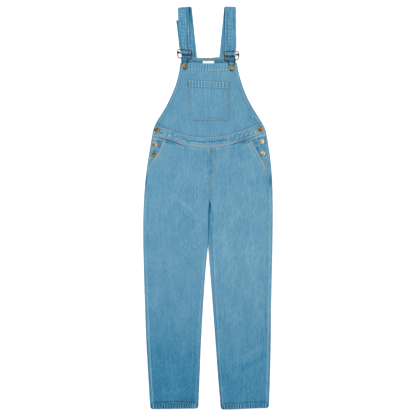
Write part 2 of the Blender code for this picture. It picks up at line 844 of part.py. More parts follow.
def turned(name, profile, place, look):
    """A solid turned round Z from a profile of (radius, height), bottom to top."""
    made = bmesh.new()
    ring = [made.verts.new((r * MM, 0, z * MM)) for r, z in profile]
    edges = [made.edges.new(pair) for pair in zip(ring, ring[1:])]
    bmesh.ops.spin(
        made, geom=ring + edges, axis=(0, 0, 1), cent=(0, 0, 0), angle=2 * math.pi, steps=BUTTON_SIDES
    )
    bmesh.ops.remove_doubles(made, verts=made.verts, dist=0.01 * MM)
    bmesh.ops.recalc_face_normals(made, faces=made.faces)
    mesh = bpy.data.meshes.new(name)
    made.to_mesh(mesh)
    made.free()
    mesh.shade_smooth()
    mesh.set_sharp_from_angle(angle=math.radians(35))
    piece = add(name, mesh, look)
    piece.location = Vector(place) * MM
    return piece


def button(name, x, y, foot, under, plate, look):
    """A tack button: a domed cap on a shank that starts at foot, its cap's underside at under."""
    rise = under - foot
    profile = [(0, 0)]
    if plate:
        profile += [(RIVET, 0), (RIVET, CLOTH), (SHANK, CLOTH)]
    else:
        profile += [(SHANK, 0)]
    profile += [
        (SHANK, rise),
        (BUTTON_RADIUS - 0.8, rise),
        (BUTTON_RADIUS, rise + 0.8),
        (BUTTON_RADIUS - 0.5, rise + 0.75 * BUTTON_DOME),
        (BUTTON_RADIUS - 2.0, rise + BUTTON_DOME),
        (BUTTON_RADIUS - 3.4, rise + 0.72 * BUTTON_DOME),
        (BUTTON_RADIUS - 6.2, rise + 0.66 * BUTTON_DOME),
        (0, rise + 0.72 * BUTTON_DOME),
    ]
    return turned(name, profile, (x, y, foot), look)


def cutter(name, outline, height):
    """An upright prism that cuts a hole, as a closed mesh."""
    made = bmesh.new()
    face = made.faces.new([made.verts.new((x * MM, y * MM, 0)) for x, y in outline])
    up = bmesh.ops.extrude_face_region(made, geom=[face])
    tops = [v for v in up["geom"] if isinstance(v, bmesh.types.BMVert)]
    bmesh.ops.translate(made, verts=tops, vec=(0, 0, height * MM))
    bmesh.ops.recalc_face_normals(made, faces=made.faces)
    mesh = bpy.data.meshes.new(name)
    made.to_mesh(mesh)
    made.free()
    return mesh


def circle(x, y, radius, first, last, count):
    """Points on an arc, angles in degrees."""
    turns = [math.radians(blend(first, last, k / count)) for k in range(count + 1)]
    return [(x + radius * math.cos(t), y + radius * math.sin(t)) for t in turns]


def buttonhole(cloth, where, look):
    """Cuts a keyhole through the cloth: round the shank, with a slit towards the middle."""
    inward = -1 if where.x > 0 else 1
    radius = SHANK + SEAM
    narrow = math.degrees(math.asin(SLIT / 2 / radius))
    first = 180 if inward < 0 else 0
    outline = circle(where.x, where.y, radius, first + narrow, first + 360 - narrow, 12)
    tip = where.x + inward * BUTTONHOLE
    outline += [(tip, where.y - inward * SLIT / 2), (tip, where.y + inward * SLIT / 2)]
    hole = add(f"hole_{where.name}", cutter("hole", outline, 20), look)
    hole.location.z = -5 * MM
    combine(cloth, hole, "DIFFERENCE")


def build():
    for leftover in list(bpy.data.objects):
        bpy.data.objects.remove(leftover)

    denim = material("denim", (0.13, 0.33, 0.50), 0.9)
    brass = material("antique_brass", (0.42, 0.24, 0.09), 0.35, 1.0)
    woven = material("label_tape", (0.86, 0.85, 0.80), 0.8)

    cloth = {}
    for side in ("right", "left"):
        back_leg(side, denim)
        front_leg(side, denim)
        cloth[side] = hip_piece(side, denim)
        strap(side, denim)
        buckle_wire(side, brass)
        buckle_bar(side, brass)

    waistband("waistband_back", "back", lambda x, y: 0.0, 1.0, denim)
    band = waistband("waistband_front", "front", band_level, 0.0, denim)
    bib_back(denim)
    bib = bib_front(denim)
    patch_pocket(denim)
    neck_label(woven)

    for side in ("right", "left"):
        where = buckle_place(side, 0, SLOT_END + BUTTON_IN_SLOT)
        foot = CLOTH + SEAM
        top = BIB_TOP_LEVEL + DOUBLE + 2 * SEAM + 2 * WIRE
        button(f"button_bib_{side}", where.x, where.y, foot, top, True, brass)
        hole = add(
            f"rivet_hole_{side}",
            cutter("rivet_hole", circle(where.x, where.y, SHANK + SEAM, 0, 330, 11), 20),
            denim,
        )
        hole.location.z = -5 * MM
        combine(bib, hole, "DIFFERENCE")

    for where in SIDE_BUTTONS:
        side = "left" if where.x > 0 else "right"
        at_waist = where.name.startswith("waist")
        foot = (DOUBLE if at_waist else CLOTH) + SEAM
        face = (
            band_level(where.x, where.y) + DOUBLE
            if at_waist
            else front_level(side, where.x, where.y) - SEAM
        )
        button(f"button_{where.name}", where.x, where.y, foot, face + 2 * SEAM, False, brass)
        buttonhole(band if at_waist else cloth[side], where, denim)


build()
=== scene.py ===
"""Looks of the denim dungarees: fine cloth with its seams, stitches and wear, and the metal trim.

Sizes, places and tables are in millimetres in the frame's own axes; MM turns them into metres.
Left and right are the wearer's, so the left side lies at +X. The forms follow the same named
values as the solids that they stand for, on a finer mesh.
"""

import math
from collections import namedtuple
from functools import partial

import bpy
import numpy as np
from mathutils import Matrix, Vector


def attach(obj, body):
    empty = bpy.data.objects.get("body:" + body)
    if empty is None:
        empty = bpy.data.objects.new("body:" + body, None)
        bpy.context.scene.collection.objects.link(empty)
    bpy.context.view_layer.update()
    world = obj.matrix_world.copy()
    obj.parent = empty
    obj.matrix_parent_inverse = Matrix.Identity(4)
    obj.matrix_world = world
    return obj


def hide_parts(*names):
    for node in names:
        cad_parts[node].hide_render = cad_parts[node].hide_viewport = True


MM = 0.001

# Camera and floor
IMAGE_SIZE = 416  # pixels
PIXEL = 3.6  # millimetres on the floor
FLOOR_HALF = 6000.0
FLOOR_DROP = 0.4

# Cloth
SEAM = 0.3  # gap between two pieces where they are sewn
CLOTH = 1.0  # one layer
DOUBLE = 1.8  # two layers stitched flat: waistbands, straps and top hems
HEM_RAISE = 0.6
HEM_STEP = 2.0  # how softly a raised hem falls to the single cloth

# Levels of the front layer
SIDE_FOLD = 3.2  # thickness of a leg where its back wraps round the edge
SEAM_LEVEL = SIDE_FOLD - CLOTH
CROWN = 1.3  # how much higher the middle of a leg lies than its seams
CROWN_REACH = 30.0
STRAIGHT_ROWS = 60.0  # above this the rows of the mesh bend towards the waistband
POCKET_LIFT = 1.3  # the hip piece lifts the front by this much
BIB_TOP_LEVEL = 2.6

# Heights along Y
BIB_TOP = 523.0
BIB_HEM = 26.5
WAISTBAND = 38.0
CROTCH = 29.0
HEM_CORNER = 8.0
HEM_MARGIN = 2.2  # cloth above the stitches of a hem
BAND_FOOT = 262.0  # where the foot of the waistband meets the sides
WAIST_ROWS = (3.0, WAISTBAND - 3.0, WAISTBAND - 8.0)  # stitches below the waistband's top edge
PLACKET_INSET = 4.0

Side = namedtuple("Side", "y right left")
SIDES = [
    Side(306, -188.6, 194.8),
    Side(288, -195.1, 204.1),
    Side(266, -200.5, 210.2),
    Side(216, -208.8, 218.9),
    Side(158, -218.2, 226.4),
    Side(86, -226.8, 231.5),
    Side(-14, -232.6, 233.3),
    Side(-130, -233.3, 232.2),
    Side(-245, -230.4, 229.7),
    Side(-360, -226.8, 227.2),
    Side(-475, -222.5, 226.1),
    Side(-590, -216.0, 223.6),
    Side(-706, -208.8, 219.6),
    Side(-727, -206.8, 218.5),
]

Leg = namedtuple("Leg", "y right left right_inseam left_inseam right_outseam left_outseam")
LEGS = [
    Leg(118, 5.5, 6.5, 3.0, 3.5, 9.5, 9.5),
    Leg(29, 5.5, 6.5, 3.0, 3.5, 9.5, 10.0),
    Leg(-14, 2.5, 3.4, 3.0, 6.0, 9.5, 10.5),
    Leg(-72, 1.8, 2.7, 3.2, 8.5, 9.0, 11.0),
    Leg(-130, -0.4, 1.4, 3.6, 12.5, 9.0, 11.0),
    Leg(-187, -5.8, 4.3, 4.2, 13.5, 9.0, 11.0),
    Leg(-245, -10.8, 9.0, 5.0, 11.0, 9.0, 11.0),
    Leg(-360, -18.7, 18.0, 6.5, 8.5, 9.0, 11.0),
    Leg(-475, -25.2, 26.6, 6.5, 6.5, 8.6, 9.5),
    Leg(-590, -29.9, 34.9, 6.8, 5.0, 8.2, 8.5),
    Leg(-727, -35.6, 46.4, 6.8, 4.5, 8.0, 7.5),
]

Centre = namedtuple("Centre", "y front back")
CENTRES = [
    Centre(300, -0.4, 0.0),
    Centre(217, -0.4, 0.5),
    Centre(104, 1.4, 2.5),
    Centre(62, 5.0, 5.0),
    Centre(29, 6.0, 6.0),
]

Pocket = namedtuple("Pocket", "down right left")
POCKETS = [
    Pocket(0.0, -160.6, 153.1),
    Pocket(0.3, -169.8, 172.6),
    Pocket(0.6, -182.0, 191.9),
    Pocket(0.83, -195.6, 206.7),
    Pocket(1.0, -207.0, 217.4),
]
POCKET_ROWS = {"right": (4.0, 10.0), "left": (5.0, 12.0)}  # stitches inside its edge, along X
POCKET_TOP = {"right": 249.0, "left": 252.0}
POCKET_END = {"right": 163.5, "left": 133.5}
HIP_UNDERLAP = 26.0  # how far the hip piece runs on under the front
OUTSEAM_DASHES = {"right": 6.4, "left": 7.6}  # dark dashes this far inside the outseam

Band = namedtuple("Band", "x front back")
BANDS = [
    Band(-205, 298.0, 297.0),
    Band(-175, 292.0, 294.5),
    Band(-138, 282.6, 292.0),
    Band(-84, 263.5, 289.0),
    Band(-20, 255.4, 288.0),
    Band(45, 258.5, 289.0),
    Band(108, 274.7, 294.0),
    Band(170, 297.4, 301.0),
    Band(210, 310.0, 306.0),
]

Neck = namedtuple("Neck", "x y")
NECKS = [
    Neck(-97, 553.4),
    Neck(-80, 551.8),
    Neck(-60, 544.0),
    Neck(0, 541.0),
    Neck(30, 543.0),
    Neck(60, 544.6),
    Neck(80, 547.8),
    Neck(99, 548.6),
]

Bib = namedtuple("Bib", "y right left")
BIBS = [
    Bib(545, -98.4, 101.3),
    Bib(523, -99.7, 103.3),
    Bib(490, -104.0, 109.4),
    Bib(446, -115.2, 122.0),
    Bib(403, -132.5, 138.6),
    Bib(360, -154.1, 161.3),
    Bib(317, -181.1, 188.3),
    Bib(290, -195.0, 203.5),
]
BIB_NECK_DIP = 2.5
BIB_STITCH = {"right": 8.0, "left": 10.0}  # stitches inside its side edges
BACK_INSET = 3.0
BACK_HEM = 18.0

BibLevel = namedtuple("BibLevel", "y level")
BIB_LEVELS = [
    BibLevel(545, BIB_TOP_LEVEL),
    BibLevel(490, BIB_TOP_LEVEL - 0.1),
    BibLevel(450, 1.9),
    BibLevel(380, 1.8),
    BibLevel(320, 2.3),
    BibLevel(255, 3.1),
]

# Bib pocket
PATCH_CENTRE = 2.6
PATCH_TOP = 456.0
PATCH_BOTTOM = 316.0
PATCH_DEEP = PATCH_TOP - PATCH_BOTTOM
PATCH_ROWS = (1.7, 5.2)  # stitches inside its edge
PATCH_WIDTH = 145.0
PATCH_CORNER = 24.0
PATCH_HEM = 22.0
PATCH_LEAN = -0.02
PATCH_TOP_LEAN = -0.05

# Neck label
LABEL_WIDTH = 41.0
LABEL_HEIGHT = 10.2
LABEL_CENTRE = 1.6
LABEL_TOP = 529.7

# Mock fly
FLY_WIDTH = 32.0
FLY_END = 104.0
FLY_RAISE = 0.5

Fold = namedtuple("Fold", "x0 y0 x1 y1 height width")
FOLDS = [
    Fold(-120, 40, -58, -38, 0.8, 13),
    Fold(-100, -8, -48, -66, -0.6, 10),
    Fold(-40, -30, -22, -160, 0.5, 12),
    Fold(112, -20, 46, -112, 0.9, 15),
    Fold(66, 6, 26, -78, -0.5, 9),
    Fold(150, -150, 186, -330, 0.6, 16),
    Fold(-176, -190, -190, -360, 0.6, 16),
    Fold(-70, -300, -96, -520, 0.6, 18),
    Fold(96, -380, 120, -600, 0.7, 18),
    Fold(-150, -560, -120, -660, 0.5, 15),
    Fold(170, -520, 150, -640, 0.5, 14),
    Fold(-112, 330, -150, 300, 0.5, 9),
    Fold(120, 340, 160, 306, 0.6, 10),
    Fold(40, 250, 60, 200, 0.3, 10),
]

# Worn or dark lines that creases have left, which don't stand up from the cloth
Crease = namedtuple("Crease", "x0 y0 x1 y1 tone width")
CREASES = [
    Crease(8.6, 12, 17.6, -45, -0.20, 3.0),
    Crease(-108, 14, -54, -32, -0.08, 6),
    Crease(-94, -18, -47, -50, -0.07, 5),
    Crease(-98, 26, -58, -8, 0.05, 5),
    Crease(-96, 0, -50, -40, 0.04, 4),
    Crease(209, -529, 122, -583, -0.06, 9),
    Crease(190, -500, 130, -540, 0.04, 9),
    Crease(151, 326, 188, 301, -0.14, 3.0),
    Crease(142, 318, 176, 297, -0.10, 2.6),
    Crease(162, 334, 190, 314, 0.10, 2.4),
    Crease(-188, 306, -160, 297, -0.14, 3.0),
    Crease(-150, -150, -120, -330, 0.025, 12),
    Crease(60, -120, 84, -300, 0.025, 13),
    Crease(206, 139, 217.5, 115, -0.15, 2.4),
    Crease(200, 141, 213, 113, 0.10, 2.4),
]

# Painted shadow that the waistband casts on the fronts just below it
WAISTBAND_SHADOWS = [
    Crease(-152, 239, -122, 231, -0.22, 5.0),
    Crease(150, 242, 126, 234, -0.24, 4.6),
]

# Where crossing seams tint the cloth with their thread
STAINS = [
    Crease(-203, 160, -217.5, 130, 0.12, 5.0),
    Crease(206, 140, 217, 117, 0.12, 4.5),
    Crease(6, 100, 7, 34, 0.10, 5.0),
]

# Straps
STRAP_WIDTH = 38.0
BUCKLE_BEND = 34.0  # a strap bends towards its buckle from this far above the bar
LOOP_DROP = {"right": 3.1, "left": 2.9}  # slack of the strap below the bar it goes round
GATHER = 1.7  # how much each half of a strap narrows where it goes round the bar
Strap = namedtuple(
    "Strap", "back_low back_high front_high front_mid front_low tail_high tail_end top top_skew"
)
STRAPS = {
    "right": Strap(-58.7, -78.0, -89.4, -85.2, -81.4, -95.4, 676.0, 723.8, 0.085),
    "left": Strap(59.8, 77.4, 80.6, 82.0, 79.8, 81.3, 672.0, 725.2, -0.01),
}
StrapShade = namedtuple("StrapShade", "dark contrast wedge wedge_top spread_top")
STRAP_SHADES = {  # dark darkens the whole strap; the rest paint the shadow that its front casts on the run behind, deeper and wider near the top
    "right": StrapShade(0.085, 1.3, 0.08, 0.26, 6.0),
    "left": StrapShade(0.055, 1.0, 0.17, 0.3, 1.5),
}
UP, FOLD, DOWN, UNDER, TAIL = range(5)  # parts of a strap's path, from the back bib on
BACK_LAYER = 0.0
TAIL_LAYER = BACK_LAYER + DOUBLE + SEAM
FRONT_LAYER = TAIL_LAYER + DOUBLE + SEAM

# Buckles: a bent wire with a loop for the bib button, and a bar that holds the strap
WIRE = 1.4
BAR = 1.2
COLLAR = 1.0  # how much thicker the eyes of the bar are than the wire in them
FRAME_HALF = 25.3
FRAME_TOP = 11.5
FRAME_FOOT = -17.0
FRAME_CORNER = 5.0
LOOP_HALF = 11.2
SLOT_HALF = 4.7
SLOT_END = -58.2
BUTTON_IN_SLOT = 10.5
Buckle = namedtuple("Buckle", "x y turn foot_turn foot")  # its bent wire isn't quite square
BUCKLES = {
    "right": Buckle(-84.2, 557.4, -5.5, -6.0, -18.0),
    "left": Buckle(84.4, 551.9, 0.2, 5.5, -19.0),
}
Eye = namedtuple("Eye", "half inset rub neck")  # neck: how far it reaches along the bar
EYES = {"outer": Eye(3.2, 0.0, -0.25, 1.35), "inner": Eye(5.2, 0.6, 0.12, 0.9)}
Lean = namedtuple("Lean", "v z")
LEANS = [
    Lean(FRAME_TOP, FRONT_LAYER + DOUBLE + SEAM + WIRE),
    Lean(0.0, FRONT_LAYER + BAR),
    Lean(FRAME_FOOT, 4.0),
    Lean(-29.0, 6.2),
    Lean(SLOT_END, 6.1),
]

# Buttons
BUTTON_RADIUS = 8.5
BUTTON_DOME = 3.0
SHANK = 2.9
PLATE_RADIUS = 4.6  # rivet plate behind the bib
Button = namedtuple("Button", "name x y worn sheen look")  # sheen: angle of the side that gets a painted highlight
SIDE_BUTTONS = [
    Button("waist_right", -184.0, 280.8, -0.15, 330, "copper"),
    Button("upper_right", -190.6, 228.9, -0.2, 10, "gold"),
    Button("lower_right", -196.4, 192.4, 0.0, 240, "olive"),
    Button("waist_left", 188.6, 284.4, 0.02, 60, "copper"),
    Button("upper_left", 194.4, 239.5, 0.12, 20, "gold"),
    Button("lower_left", 198.0, 195.8, 0.0, 60, "gold"),
]
BUTTONHOLE = 12.4  # how far the buttonhole reaches from the middle of its button

# Fineness of the cloth
NEAR_EDGE = (0.0, 0.15, 0.4, 0.8, 1.4)  # first columns in from a free edge
NEAR_SEAM = NEAR_EDGE + (2.4, 3.6, 5.0, 6.5, 8.0, 10.0, 12.5, 15.0)
LEG_STEP = 2.0
MIDDLE_STEP = 6.5
LAP = 0.25  # how far a seam's two pieces run past the line where they meet
EDGE = 0.45  # radius of a turned edge

# Tones of the denim: 0 is dark and unwashed, 0.5 the washed cloth, 1 worn white
Tone = namedtuple("Tone", "y right left")
TONES = [
    Tone(300, 0.49, 0.49),
    Tone(150, 0.50, 0.50),
    Tone(0, 0.50, 0.515),
    Tone(-150, 0.49, 0.53),
    Tone(-250, 0.465, 0.50),
    Tone(-350, 0.44, 0.475),
    Tone(-450, 0.38, 0.42),
    Tone(-550, 0.32, 0.37),
    Tone(-650, 0.285, 0.33),
    Tone(-727, 0.27, 0.31),
]
BIB_TONE = 0.50
Wash = namedtuple("Wash", "tone red green blue")
WASHES = [
    Wash(0.0, 10, 42, 68),
    Wash(0.12, 17, 72, 103),
    Wash(0.26, 35, 101, 132),
    Wash(0.38, 60, 116, 144),
    Wash(0.5, 82, 127, 151),
    Wash(0.64, 102, 143, 162),
    Wash(0.8, 131, 161, 176),
    Wash(1.0, 171, 183, 188),
]

# Topstitching, and the colours of its threads
STITCH = 3.1
STITCH_GAP = 0.55
THREAD_WIDTH = 0.85
THREAD_HEIGHT = 0.45
BAND_RUNS = (-210, -150, -106, 102, 146, 215)  # the 2nd and 4th run at the waistband's foot are worn
THREAD = (152, 138, 111)
TONAL = (144, 156, 156)
FADED = (96, 128, 146)
TACK = (150, 122, 68)
WORN_THREAD = (116, 98, 78)
TAN = (160, 148, 104)  # cloth tinted by the threads that cross it

RANDOM = np.random.default_rng(11).uniform(-1.0, 1.0, 4096)


# ---------------------------------------------------------------- curves and noise


def smooth(start, end, value):
    """0 before start, 1 after end, and a soft step between them."""
    share = np.clip((value - start) / (end - start), 0.0, 1.0)
    return share * share * (3 - 2 * share)


def bump(value, centre, width):
    """1 at the centre, falling softly to 0 about twice the width away."""
    return np.exp(-(((value - centre) / width) ** 2))


def blend(a, b, share):
    return a + (b - a) * share


def read(table, column, at):
    """The named column of a table where its first column has this value, on a smooth curve."""
    rows = np.array(sorted((row[0], getattr(row, column)) for row in table), float)
    xs, ys = rows[:, 0], rows[:, 1]
    slopes = np.empty_like(xs)
    slopes[1:-1] = (ys[2:] - ys[:-2]) / (xs[2:] - xs[:-2])
    slopes[0], slopes[-1] = (ys[1] - ys[0]) / (xs[1] - xs[0]), (ys[-1] - ys[-2]) / (xs[-1] - xs[-2])
    at = np.clip(np.asarray(at, float), xs[0], xs[-1])
    low = np.clip(np.searchsorted(xs, at, side="right") - 1, 0, len(xs) - 2)
    gap = xs[low + 1] - xs[low]
    s = (at - xs[low]) / gap
    return (
        (2 * s**3 - 3 * s**2 + 1) * ys[low]
        + (s**3 - 2 * s**2 + s) * gap * slopes[low]
        + (3 * s**2 - 2 * s**3) * ys[low + 1]
        + (s**3 - s**2) * gap * slopes[low + 1]
    )


def ripple(along, period, seed=0):
    """Smooth uneven values from -1 to 1 along a line."""
    at = np.asarray(along, float) / period + 1000 + seed * 37.7
    low = np.floor(at).astype(int)
    share = at - low
    share = share * share * (3 - 2 * share)
    return blend(RANDOM[low % RANDOM.size], RANDOM[(low + 1) % RANDOM.size], share)


def cloudy(x, y, size, seed=0):
    """Smooth uneven values from -1 to 1 over a plane."""
    u, v = np.asarray(x, float) / size + 500, np.asarray(y, float) / size + 500
    i, j = np.floor(u).astype(int), np.floor(v).astype(int)
    s, t = u - i, v - j
    s, t = s * s * (3 - 2 * s), t * t * (3 - 2 * t)

    def at(di, dj):
        return RANDOM[((i + di) * 157 + (j + dj) * 613 + seed * 91) % RANDOM.size]

    return blend(blend(at(0, 0), at(1, 0), s), blend(at(0, 1), at(1, 1), s), t)


def bars(along, period, seed):
    """Puckers across a seam that has shrunk: uneven ridges from -1 to 1 along it."""
    phase = along / period + 0.3 * ripple(along, period * 3.1, seed)
    phase = phase + 0.5 * ripple(along, period * 9, seed + 1)
    return np.sin(2 * math.pi * phase) * (0.6 + 0.4 * ripple(along, period * 2.3, seed + 2))


def outward(side):
    """+1 on the wearer's left, which lies at +X, and -1 on the right."""
    return 1 if side == "left" else -1


# ---------------------------------------------------------------- outlines and levels


def hem_line(side, x):
    """Lowest edge of a leg: the right hem lies nearly square, the left one rises outwards."""
    if side == "right":
        return -723.0 + 0.014 * (np.asarray(x, float) + 130)
    return -725.4 + 5.0 * smooth(60, 205, x)


def hem_stitch(side, x):
    """How far above the lowest edge a hem is stitched: uneven, as the hem was turned by hand."""
    if side == "right":
        return 17.9 + 3.8 * (1 - np.minimum(1.0, np.abs(x + 125) / 80) ** 2)
    return 14.6 + 3.9 * smooth(45, 90, x)


def hem_inset(side, x, y):
    above = np.clip(y - hem_line(side, x), 0.0, HEM_CORNER)
    return HEM_CORNER - np.sqrt(HEM_CORNER**2 - (HEM_CORNER - above) ** 2)


def outer_edge(side, y):
    x = read(SIDES, side, y)
    return x - outward(side) * hem_inset(side, x, y)


def inner_edge(side, y):
    x = read(LEGS, side, y)
    return x + outward(side) * hem_inset(side, x, y)


def band_top(x):
    return read(BANDS, "front", x)


def centre_line(y):
    return read(CENTRES, "front", y)


def pocket_edge(side, y):
    top, end = POCKET_TOP[side], POCKET_END[side]
    return read(POCKETS, side, (top - y) / (top - end))


def outseam(side, y):
    return outer_edge(side, y) - outward(side) * read(LEGS, side + "_outseam", y)


def inseam(side, y):
    arrived = smooth(CROTCH, CROTCH - 14, y)
    return inner_edge(side, y) + outward(side) * blend(0.3, read(LEGS, side + "_inseam", y), arrived)


def front_inner(side, y):
    """Inner border of a front leg: the centre seam, then the inseam."""
    return np.where(np.asarray(y) > CROTCH, centre_line(y), inseam(side, y))


def front_outer(side, y):
    """Outer border of a front leg: the pocket edge, then the outseam."""
    return np.where(np.asarray(y) > POCKET_END[side], pocket_edge(side, y), outseam(side, y))


def bib_edge(side, y):
    return read(BIBS, side, y)


def bib_neck(x):
    return BIB_TOP - BIB_NECK_DIP * (1 - (x / 100) ** 2) + 2.2 * bump(x, -52.0, 20.0)


def back_neck(x):
    return read(NECKS, "y", x)


def near_line(x, y, line):
    """1 on a straight line from (x0, y0) to (x1, y1), falling softly to 0 beside it."""
    along_x, along_y = line.x1 - line.x0, line.y1 - line.y0
    share = ((x - line.x0) * along_x + (y - line.y0) * along_y) / (along_x**2 + along_y**2)
    near = np.clip(share, 0.0, 1.0)
    return bump(np.hypot(x - line.x0 - near * along_x, y - line.y0 - near * along_y), 0.0, line.width)


def folds_at(x, y):
    return sum(fold.height * near_line(x, y, fold) for fold in FOLDS)


def stain(x, y):
    """Share of tan that the threads of crossing seams give the cloth beside them."""
    return sum(mark.tone * near_line(x, y, mark) for mark in STAINS)


def crease_tone(x, y):
    return 0.05 * folds_at(x, y) + sum(crease.tone * near_line(x, y, crease) for crease in CREASES)


def pocket_lift(side, x, y):
    inside = outward(side) * (pocket_edge(side, y) - x)
    end = POCKET_END[side]
    under = 1 - smooth(HIP_UNDERLAP + 3, HIP_UNDERLAP + 42, inside)
    return POCKET_LIFT * under * smooth(end - 60, end, y)


def front_level(side, x, y):
    """Underside of the front leg above the floor."""
    from_outside = np.abs(x - outer_edge(side, y))
    from_inside = np.hypot(x - inner_edge(side, y), np.maximum(0.0, y - CROTCH))
    rise = (1 - np.exp(-from_outside / CROWN_REACH)) * (1 - np.exp(-from_inside / CROWN_REACH))
    fading = 1 - np.exp(-np.minimum(from_outside, from_inside) / 12)
    return SEAM_LEVEL + CROWN * rise + folds_at(x, y) * fading + pocket_lift(side, x, y)


def by_side(x, function):
    """A function of (side, x) for points on both sides of the garment."""
    return np.where(np.asarray(x) > 0, function("left"), function("right"))


def band_level(x, y):
    """Underside of the front waistband, which comes down onto the back one at its ends."""

    def level(side):
        corner = abs(float(pocket_edge(side, POCKET_TOP[side])))
        return front_level(side, x, y) - 0.4 - smooth(corner, corner + 45, np.abs(x))

    return by_side(x, level)


def bib_level(x, y):
    edge = smooth(0, 25, by_side(x, lambda side: np.abs(bib_edge(side, y) - x)))
    return read(BIB_LEVELS, "level", y) - 0.3 * (1 - edge) + folds_at(x, y) * edge


# ---------------------------------------------------------------- materials


def linear(red, green, blue):
    """A display colour from 0 to 255 as the shader's linear value."""
    parts = [c / 255 for c in (red, green, blue)]
    return tuple(c / 12.92 if c <= 0.04045 else ((c + 0.055) / 1.055) ** 2.4 for c in parts)


class Nodes:
    """Short way to add and join a material's nodes."""

    def __init__(self, name):
        self.material = bpy.data.materials.new(name)
        self.material.use_nodes = True
        self.tree = self.material.node_tree
        self.shader = self.tree.nodes["Principled BSDF"]

    def add(self, kind, inputs=None, **settings):
        node = self.tree.nodes.new(kind)
        for key, value in settings.items():
            setattr(node, key, value)
        for key, value in (inputs or {}).items():
            self.set(node.inputs[key], value)
        return node

    def set(self, socket, value):
        if isinstance(value, bpy.types.NodeSocket):
            self.tree.links.new(value, socket)
        else:
            socket.default_value = value

    def math(self, operation, a, b=0.0, clamp=False):
        node = self.add("ShaderNodeMath", {0: a, 1: b}, operation=operation, use_clamp=clamp)
        return node.outputs[0]

    def attribute(self, name, output="Fac"):
        return self.add("ShaderNodeAttribute", attribute_name=name).outputs[output]

    def noise(self, vector, size, detail=2.0, offset=(0, 0, 0)):
        """Noise of the given grain size along each axis, centred on 0."""
        scale = tuple(1 / s for s in size)
        place = self.add("ShaderNodeMapping", {"Vector": vector, "Scale": scale, "Location": offset})
        node = self.add(
            "ShaderNodeTexNoise", {"Vector": place.outputs[0], "Scale": 1.0, "Detail": detail}
        )
        return self.math("SUBTRACT", node.outputs["Fac"], 0.5)

    def ramp(self, value, stops):
        node = self.add("ShaderNodeValToRGB", {"Fac": value})
        elements = node.color_ramp.elements
        while len(elements) < len(stops):
            elements.new(0.5)
        for element, (place, colour) in zip(elements, stops):
            element.position = place
            element.color = (*colour, 1.0)
        return node.outputs["Color"]

    def finish(self, **sockets):
        for key, value in sockets.items():
            self.set(self.shader.inputs[key.replace("_", " ")], value)
        return self.material


def denim():
    """Washed twill: slubs along the warp, a fine diagonal, and tones from the mesh."""
    m = Nodes("washed_denim")
    cloth = m.attribute("cloth", "Vector")
    tone = m.attribute("tone")
    for size, strength, detail in (
        ((0.9, 11, 40), 0.28, 1.0),  # single yarns
        ((3.4, 17, 40), 0.20, 1.0),  # slubs
        ((6.5, 80, 40), 0.15, 1.0),  # bands of warp
        ((14, 2.6, 40), 0.10, 1.0),  # weft
        ((1.6, 1.6, 40), 0.17, 2.0),  # grain
        ((46, 70, 40), 0.13, 3.0),  # uneven wash
    ):
        tone = m.math("ADD", tone, m.math("MULTIPLY", m.noise(cloth, size, detail), strength))
    parts = m.add("ShaderNodeSeparateXYZ", {0: cloth})
    diagonal = m.math("ADD", parts.outputs[0], m.math("MULTIPLY", parts.outputs[1], 0.62))
    twill = m.math("SINE", m.math("MULTIPLY", diagonal, 2 * math.pi / 0.95))
    tone = m.math("ADD", tone, m.math("MULTIPLY", twill, 0.02))
    colour = m.ramp(tone, [(w.tone, linear(w.red, w.green, w.blue)) for w in WASHES])
    patchy = m.math("ADD", m.math("MULTIPLY", m.noise(cloth, (2.4, 3.0, 40), 2.0), 1.8), 1.0)
    share = m.math("MULTIPLY", m.attribute("tan"), patchy, clamp=True)
    mixed = m.add("ShaderNodeMix", {0: share, 6: colour, 7: (*linear(*TAN), 1.0)}, data_type="RGBA")
    yarn = m.noise(cloth, (0.8, 5, 40), 1.0)
    height = m.math("ADD", m.math("MULTIPLY", twill, 0.5), m.math("MULTIPLY", yarn, 1.4))
    relief = m.add("ShaderNodeBump", {"Height": height, "Strength": 0.55, "Distance": 0.12 * MM})
    return m.finish(
        Base_Color=mixed.outputs[2],
        Roughness=0.92,
        Specular_IOR_Level=0.2,
        Sheen_Weight=0.12,
        Sheen_Roughness=0.5,
        Normal=relief.outputs[0],
    )


def thread(name, colour, spread):
    """Twisted polyester thread, a little uneven in colour."""
    m = Nodes(name)
    place = m.add("ShaderNodeNewGeometry").outputs["Position"]
    shade = m.math("ADD", m.noise(place, (0.012, 0.012, 0.012), 2.0), 0.5)
    low = tuple(c * (1 - spread) for c in linear(*colour))
    high = tuple(min(1.0, c * (1 + spread)) for c in linear(*colour))
    twist = m.noise(place, (0.0004, 0.0004, 0.0004), 1.0)
    relief = m.add("ShaderNodeBump", {"Height": twist, "Strength": 0.5, "Distance": 0.1 * MM})
    return m.finish(
        Base_Color=m.ramp(shade, [(0.3, low), (0.7, high)]),
        Roughness=0.6,
        Normal=relief.outputs[0],
    )


def metal(name, dark, light, roughness):
    """Plated metal, dark where the finish stays in its recesses and light where it is rubbed, or
    where highlights and shade are painted on.
    """
    m = Nodes(name)
    place = m.add("ShaderNodeNewGeometry").outputs["Position"]
    rub = m.math("ADD", m.noise(place, (0.004, 0.004, 0.004), 3.0), m.attribute("rub"))
    fine = m.noise(place, (0.0007, 0.0007, 0.0007), 3.0)
    rub = m.math("ADD", rub, m.math("MULTIPLY", fine, 0.35))
    shine = m.math("ADD", m.math("MULTIPLY", fine, 0.3), roughness)
    relief = m.add("ShaderNodeBump", {"Height": fine, "Strength": 0.3, "Distance": 0.08 * MM})
    return m.finish(
        Base_Color=m.ramp(rub, [(0.1, linear(*dark)), (0.8, linear(*light))]),
        Metallic=1.0,
        Roughness=shine,
        Normal=relief.outputs[0],
    )


